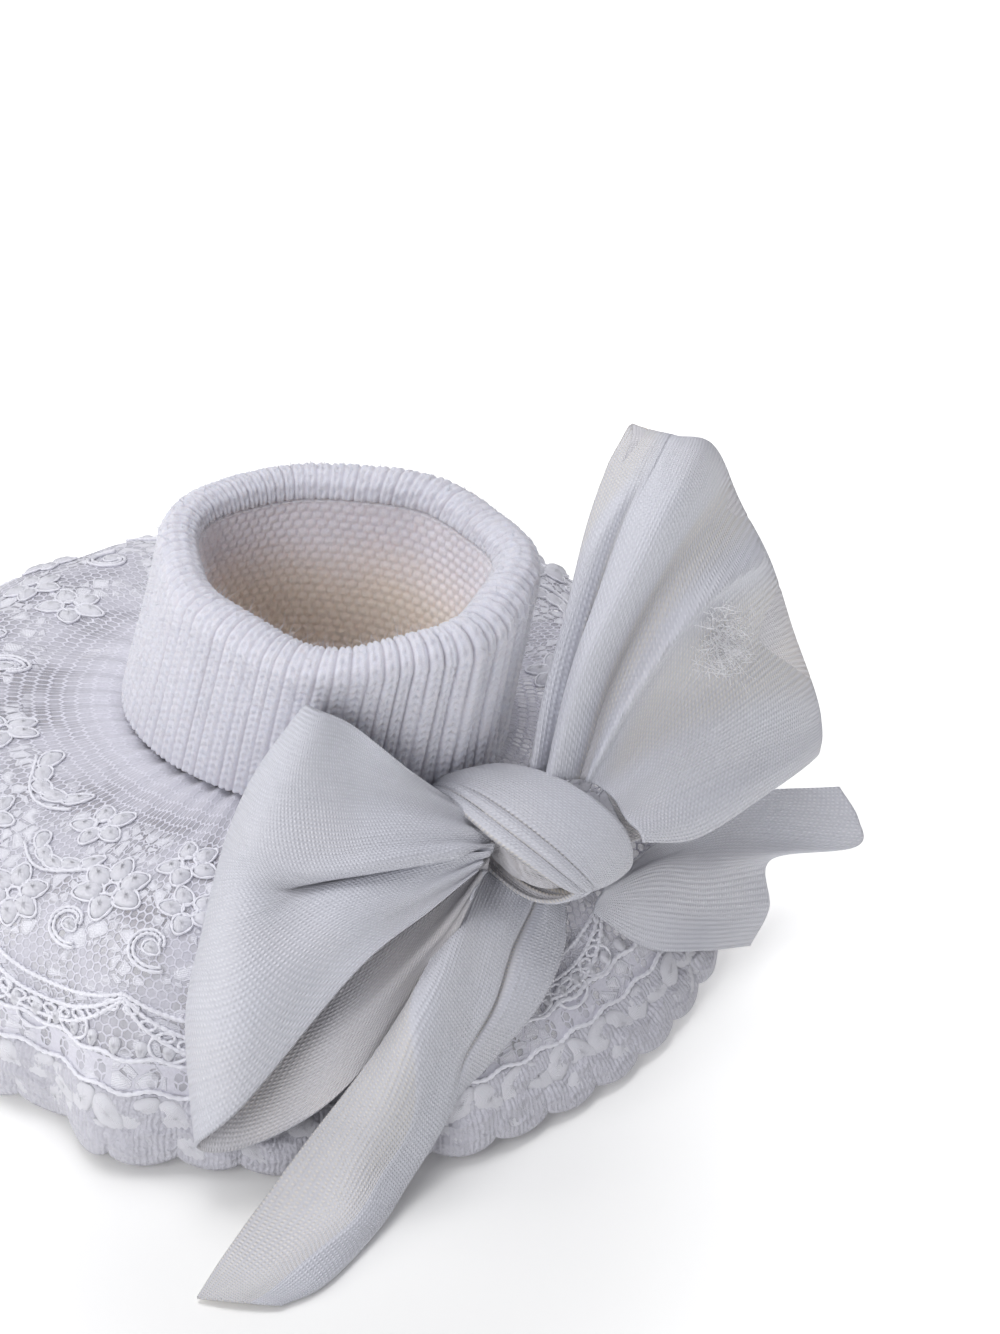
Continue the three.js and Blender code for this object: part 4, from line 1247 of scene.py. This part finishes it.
class BOOTIE_OT_knot(bpy.types.Operator):
    """Wrap the knot: the wide band with its two narrow folds, and the pinched ribbon inside"""

    bl_idname = "bootie.knot"
    bl_label = "Knot"

    def band(self, satin):
        """The band runs round an oval in its own frame. Across it lie two rolled folds and then the
        main panel: half circles of height over their shares of the width."""
        rows, columns = 240, 96
        turn = np.linspace(0, TAU, rows, endpoint=False)[:, None]
        f = np.linspace(0, 1, columns)[None, :]
        round_it = (turn / TAU).ravel()
        low = spline([-1.5, -5.2, -8.0, -8.4, -7.6, -7, -6.2, -5, -1.5], round_it)[:, None]
        high = spline([7.8, 8.4, 6.4, 1.5, -5.0, 2, 6, 7, 7.8], round_it)[:, None]
        along = mix(low, high, f)
        first = np.clip(1 - ((f - 0.07) / 0.07) ** 2, 0, 1) ** 0.5
        second = np.clip(1 - ((f - 0.21) / 0.07) ** 2, 0, 1) ** 0.5
        panel = ease(0.275, 0.31, f) * (0.8 + 0.6 * np.sin(math.pi * np.clip((f - 0.28) / 0.72, 0, 1)))
        edge = 1.1 * ease(0.88, 1.0, f) ** 2
        lift = -0.9 + 0.75 * first + (0.35 + 0.75 * second) * (f > 0.14) * (f < 0.28) + panel - edge
        lift = lift + 0.12 * wander(51, 5 * np.cos(turn), 5 * np.sin(turn), 4 * f)
        skin = knot_point(along, (10.6 + lift) * np.cos(turn), (4.6 + lift) * np.sin(turn))
        shape = Shape()
        # painted shade: the grooves between the band's folds get a low relief, so the satin is painted warm
        # in them
        groove_shade = bell(f, 0.14, 0.02) + bell(f, 0.285, 0.025) + bell(f, 0.0, 0.02)
        shape.grid(skin, marks_of(rows, columns - 1, 50, 18), rings=(True, False), flip=True,
                   relief=0.7 * (1 - groove_shade) + 0 * turn)
        face = satin_finish("knot face", satin.colour, satin.warm_colour)
        back = satin_finish("knot back", satin.warm_colour, satin.reverse_colour)
        piece = thicken(shape.build("bow_knot_wrap", [face, back]), RIBBON_THICK, back=1)
        settle(piece, "bootie", "satin", "bow_knot_band")

    def pinch(self, satin):
        """The ribbon where it is pinched inside the knot: an egg with lengthwise pleats."""
        turn = np.linspace(0, TAU, 120, endpoint=False)[:, None]
        t = np.linspace(0, 1, 40)[None, :]
        round_end = np.sqrt(np.clip(1 - (2 * t - 1) ** 2, 0, 1)) ** 0.7
        pleat = 1 - 0.08 * (0.5 + 0.5 * np.cos(11 * turn + 0.8 * np.sin(2 * turn)))
        skin = knot_point((t - 0.5) * 13.2 + 0 * turn,
                          8.9 * round_end * pleat * np.cos(turn), 3.4 * round_end * pleat * np.sin(turn))
        shape = Shape()
        shape.grid(skin, marks_of(120, 39, 40, 13), rings=(True, False), flip=True)
        finish = satin_finish("pinched ribbon", satin.warm_colour, satin.reverse_colour)
        settle(shape.build("bow_pinched_ribbon", [finish], weld=True), "bootie", "satin", "bow_pinch")

    def execute(self, context):
        satin = context.scene.bootie_satin
        self.pinch(satin)
        self.band(satin)
        return {"FINISHED"}


class BOOTIE_OT_threads(bpy.types.Operator):
    """Give the seams, stitches, tape and elastic their finishes"""

    bl_idname = "bootie.threads"
    bl_label = "Threads and tapes"

    def execute(self, context):
        lace = context.scene.bootie_lace
        knit = context.scene.bootie_knit
        fine = thread_finish("sewing thread", lace.thread_colour, 0.8)
        tape = thread_finish("heading tape", lace.colour, 1.1)
        elastic = thread_finish("covered elastic", knit.colour, 1.4)
        finishes = {
            "toe_seam": fine, "gather_stitch": fine, "lace_end_seam": fine,
            "tack_stitch_inner": fine, "tack_stitch_outer": fine,
            "lace_heading": tape, "cuff_elastic": elastic,
        }
        for node, finish in finishes.items():
            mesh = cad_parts[node].data
            mesh.materials.clear()
            mesh.materials.append(finish)
        return {"FINISHED"}


# ---- Stage ---------------------------------------------------------------------------------

VIEW_TURN = math.radians(113)
VIEW_TILT = math.radians(36)
VIEW_FAR = 430.0
VIEW_LENS = 92.83
VIEW_AIM = np.array([-9.57, 22.55, 36.0])
# painted shadow: the floor glows less in a patch in front of the hem, in place of the bootie's soft contact
# shadow
SHADE_X, SHADE_Y = 53.0, 30.0           # middle of the floor's dim patch, in front of the hem
SHADE_NEAR, SHADE_FAR = 20.0, 90.0      # it is dim within the first of these and gone at the second


def look(thing, place, aim):
    """Puts a camera or a lamp at a place, turned to its aim, both in millimetres."""
    thing.location = Vector(place * MM)
    away = Vector(aim - place)
    thing.rotation_euler = away.to_track_quat("-Z", "Y").to_euler()


class BOOTIE_OT_stage(bpy.types.Operator):
    """Set the camera, the soft lamps, the sky and the pale floor"""

    bl_idname = "bootie.stage"
    bl_label = "Stage"

    def lamp(self, name, place, size, watts, colour):
        """Adds a square soft lamp that shines on the bootie."""
        data = bpy.data.lights.new(name, "AREA")
        data.size = size * MM
        data.energy = watts
        data.color = colour
        lamp = bpy.data.objects.new(name, data)
        bpy.context.scene.collection.objects.link(lamp)
        look(lamp, place, VIEW_AIM * [1, 1, 0.5])

    def execute(self, context):
        stage = context.scene.bootie_stage
        right = np.array([math.cos(VIEW_TURN), math.sin(VIEW_TURN), 0])
        away = np.array([-math.sin(VIEW_TURN), math.cos(VIEW_TURN), 0])
        up = np.array([0, 0, 1.0])
        camera = bpy.data.objects.new("camera", bpy.data.cameras.new("camera"))
        context.scene.collection.objects.link(camera)
        context.scene.camera = camera
        camera.data.lens = VIEW_LENS
        camera.data.clip_start = 0.01
        back = up * math.sin(VIEW_TILT) - away * math.cos(VIEW_TILT)
        look(camera, VIEW_AIM + back * VIEW_FAR, VIEW_AIM)

        self.lamp("key lamp", -640 * right + 120 * away + 560 * up, 380, stage.key, (1.0, 0.99, 0.98))
        self.lamp("top lamp", -60 * right + 160 * away + 780 * up, 400, stage.top, (0.97, 0.97, 1.0))
        self.lamp("front lamp", -400 * right - 590 * away + 520 * up, 460, stage.front, (0.97, 0.97, 1.0))
        world = bpy.data.worlds.new("studio sky")
        context.scene.world = world
        world.use_nodes = True
        sky = world.node_tree.nodes["Background"]
        sky.inputs["Color"].default_value = (0.93, 0.93, 1.0, 1.0)
        sky.inputs["Strength"].default_value = stage.sky

        self.floor(stage)
        context.scene.view_settings.view_transform = "Standard"
        return {"FINISHED"}

    def floor(self, stage):
        """A wide pale disc that glows softly, less so in a patch in front of the hem, which is a painted
        shadow.
        """
        angle = np.linspace(0, TAU, 96, endpoint=False)[:, None]
        reach = np.array([1.0, 400.0, 1600.0, 6000.0])[None, :]
        shape = Shape()
        level = 0 * angle * reach - 0.05
        shape.grid(np.stack([reach * np.cos(angle), reach * np.sin(angle), level], -1), rings=(True, False),
                   flip=True)
        paper = Finish("floor paper", Roughness=0.9)
        x, y = paper.node("ShaderNodeSeparateXYZ", {"Vector": paper.place()}, output=["X", "Y"])
        # painted shadow: the glow's colour drops to a dark grey towards the patch's middle
        apart = ((x - SHADE_X * MM) ** 2 + (y - SHADE_Y * MM) ** 2) ** 0.5
        far = apart.ramp(SHADE_NEAR * MM, SHADE_FAR * MM)
        paper.set({"Base Color": paper.blend(paper.noise(0.02), (0.94, 0.94, 0.91), (0.96, 0.96, 0.93)),
                   "Emission Color": paper.blend(far, (0.10, 0.10, 0.105), (1.0, 1.0, 1.0)),
                   "Emission Strength": stage.floor_glow})
        shape.build("floor", [paper.material])


# ---- Settings, panel and registration ------------------------------------------------------

def colour_property(name, description, default):
    """A colour setting with its name, description and default."""
    return FloatVectorProperty(
        name=name, description=description, default=default, size=3, min=0, max=1, subtype="COLOR")


class BootieKnit(bpy.types.PropertyGroup):
    """The knitted cuff, ankle and foot"""

    wales: IntProperty(name="Ribs", description="Ribs round the cuff", default=76, min=40, max=120)
    course: FloatProperty(name="Course", description="Height of one stitch in millimetres", default=1.25)
    fibres: IntProperty(name="Fibres", description="Loose fibres on the cuff", default=2600, min=0)
    colour: colour_property("Yarn", "Colour of the cuff's yarn", (0.74, 0.74, 0.805))
    # painted light: the inside's yarn is given a lighter colour than the cuff's same yarn
    inside_painted_light_colour: colour_property("Inside", "Colour of the inside near the rim", (0.92, 0.88, 0.93))
    # painted shade: the warm tan that the inside turns to lower down
    inside_painted_shade_colour: colour_property("Deep inside", "Colour of the inside lower down", (0.96, 0.83, 0.72))
    foot_colour: colour_property("Foot", "Colour of the sock foot", (0.82, 0.78, 0.76))


class BootieLace(bpy.types.PropertyGroup):
    """The lace skirt and its border"""

    repeats: IntProperty(name="Repeats", description="Repeats of the pattern round the hem", default=13)
    scallops: IntProperty(name="Scallops", description="Scallops round the hem", default=44)
    seed: IntProperty(name="Seed", description="Seed of the pattern's small irregularities", default=7)
    colour: colour_property("Net", "Colour of the net and the border", (0.76, 0.755, 0.825))
    thread_colour: colour_property("Thread", "Colour of the embroidery", (0.87, 0.87, 0.92))


class BootieSatin(bpy.types.PropertyGroup):
    """The ribbon of the bow"""

    colour: colour_property("Face", "Colour of the ribbon's face", (0.785, 0.795, 0.86))
    warm_colour: colour_property("Warm face", "Its warmer patches", (0.80, 0.79, 0.825))
    reverse_colour: colour_property("Reverse", "Colour of the ribbon's reverse", (0.98, 0.92, 0.87))


class BootieStage(bpy.types.PropertyGroup):
    """Light on the bootie"""

    key: FloatProperty(name="Key lamp", description="Power of the key lamp", default=1.25, unit="POWER")
    front: FloatProperty(name="Front lamp", description="Power of the front lamp", default=2.65, unit="POWER")
    top: FloatProperty(name="Top lamp", description="Power of the top lamp", default=2.5, unit="POWER")
    sky: FloatProperty(name="Sky", description="Strength of the light from all round", default=0.30)
    floor_glow: FloatProperty(name="Floor glow", description="Light that the far floor gives", default=0.52)


SETTINGS = {
    "bootie_knit": BootieKnit, "bootie_lace": BootieLace,
    "bootie_satin": BootieSatin, "bootie_stage": BootieStage,
}
STEPS = [
    BOOTIE_OT_stage, BOOTIE_OT_foot, BOOTIE_OT_cuff, BOOTIE_OT_border, BOOTIE_OT_lace,
    BOOTIE_OT_knot, BOOTIE_OT_loops, BOOTIE_OT_tails, BOOTIE_OT_threads,
]


class BOOTIE_PT_panel(bpy.types.Panel):
    """Settings and steps of the bootie"""

    bl_idname = "BOOTIE_PT_panel"
    bl_label = "Baby Bootie"
    bl_space_type = "VIEW_3D"
    bl_region_type = "UI"
    bl_category = "Bootie"

    def draw(self, context):
        for name in SETTINGS:
            group = getattr(context.scene, name)
            box = self.layout.box()
            for key in group.__annotations__:
                box.prop(group, key)
        for step in STEPS:
            self.layout.operator(step.bl_idname)


CLASSES = [*SETTINGS.values(), *STEPS, BOOTIE_PT_panel]


def register():
    for item in CLASSES:
        bpy.utils.register_class(item)
    for name, group in SETTINGS.items():
        setattr(bpy.types.Scene, name, PointerProperty(type=group))


def unregister():
    for name in SETTINGS:
        delattr(bpy.types.Scene, name)
    for item in reversed(CLASSES):
        bpy.utils.unregister_class(item)


def main():
    """Registers the add-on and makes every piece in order."""
    register()
    for step in STEPS:
        group, action = step.bl_idname.split(".")
        getattr(getattr(bpy.ops, group), action)()


if __name__ == "__main__":
    main()
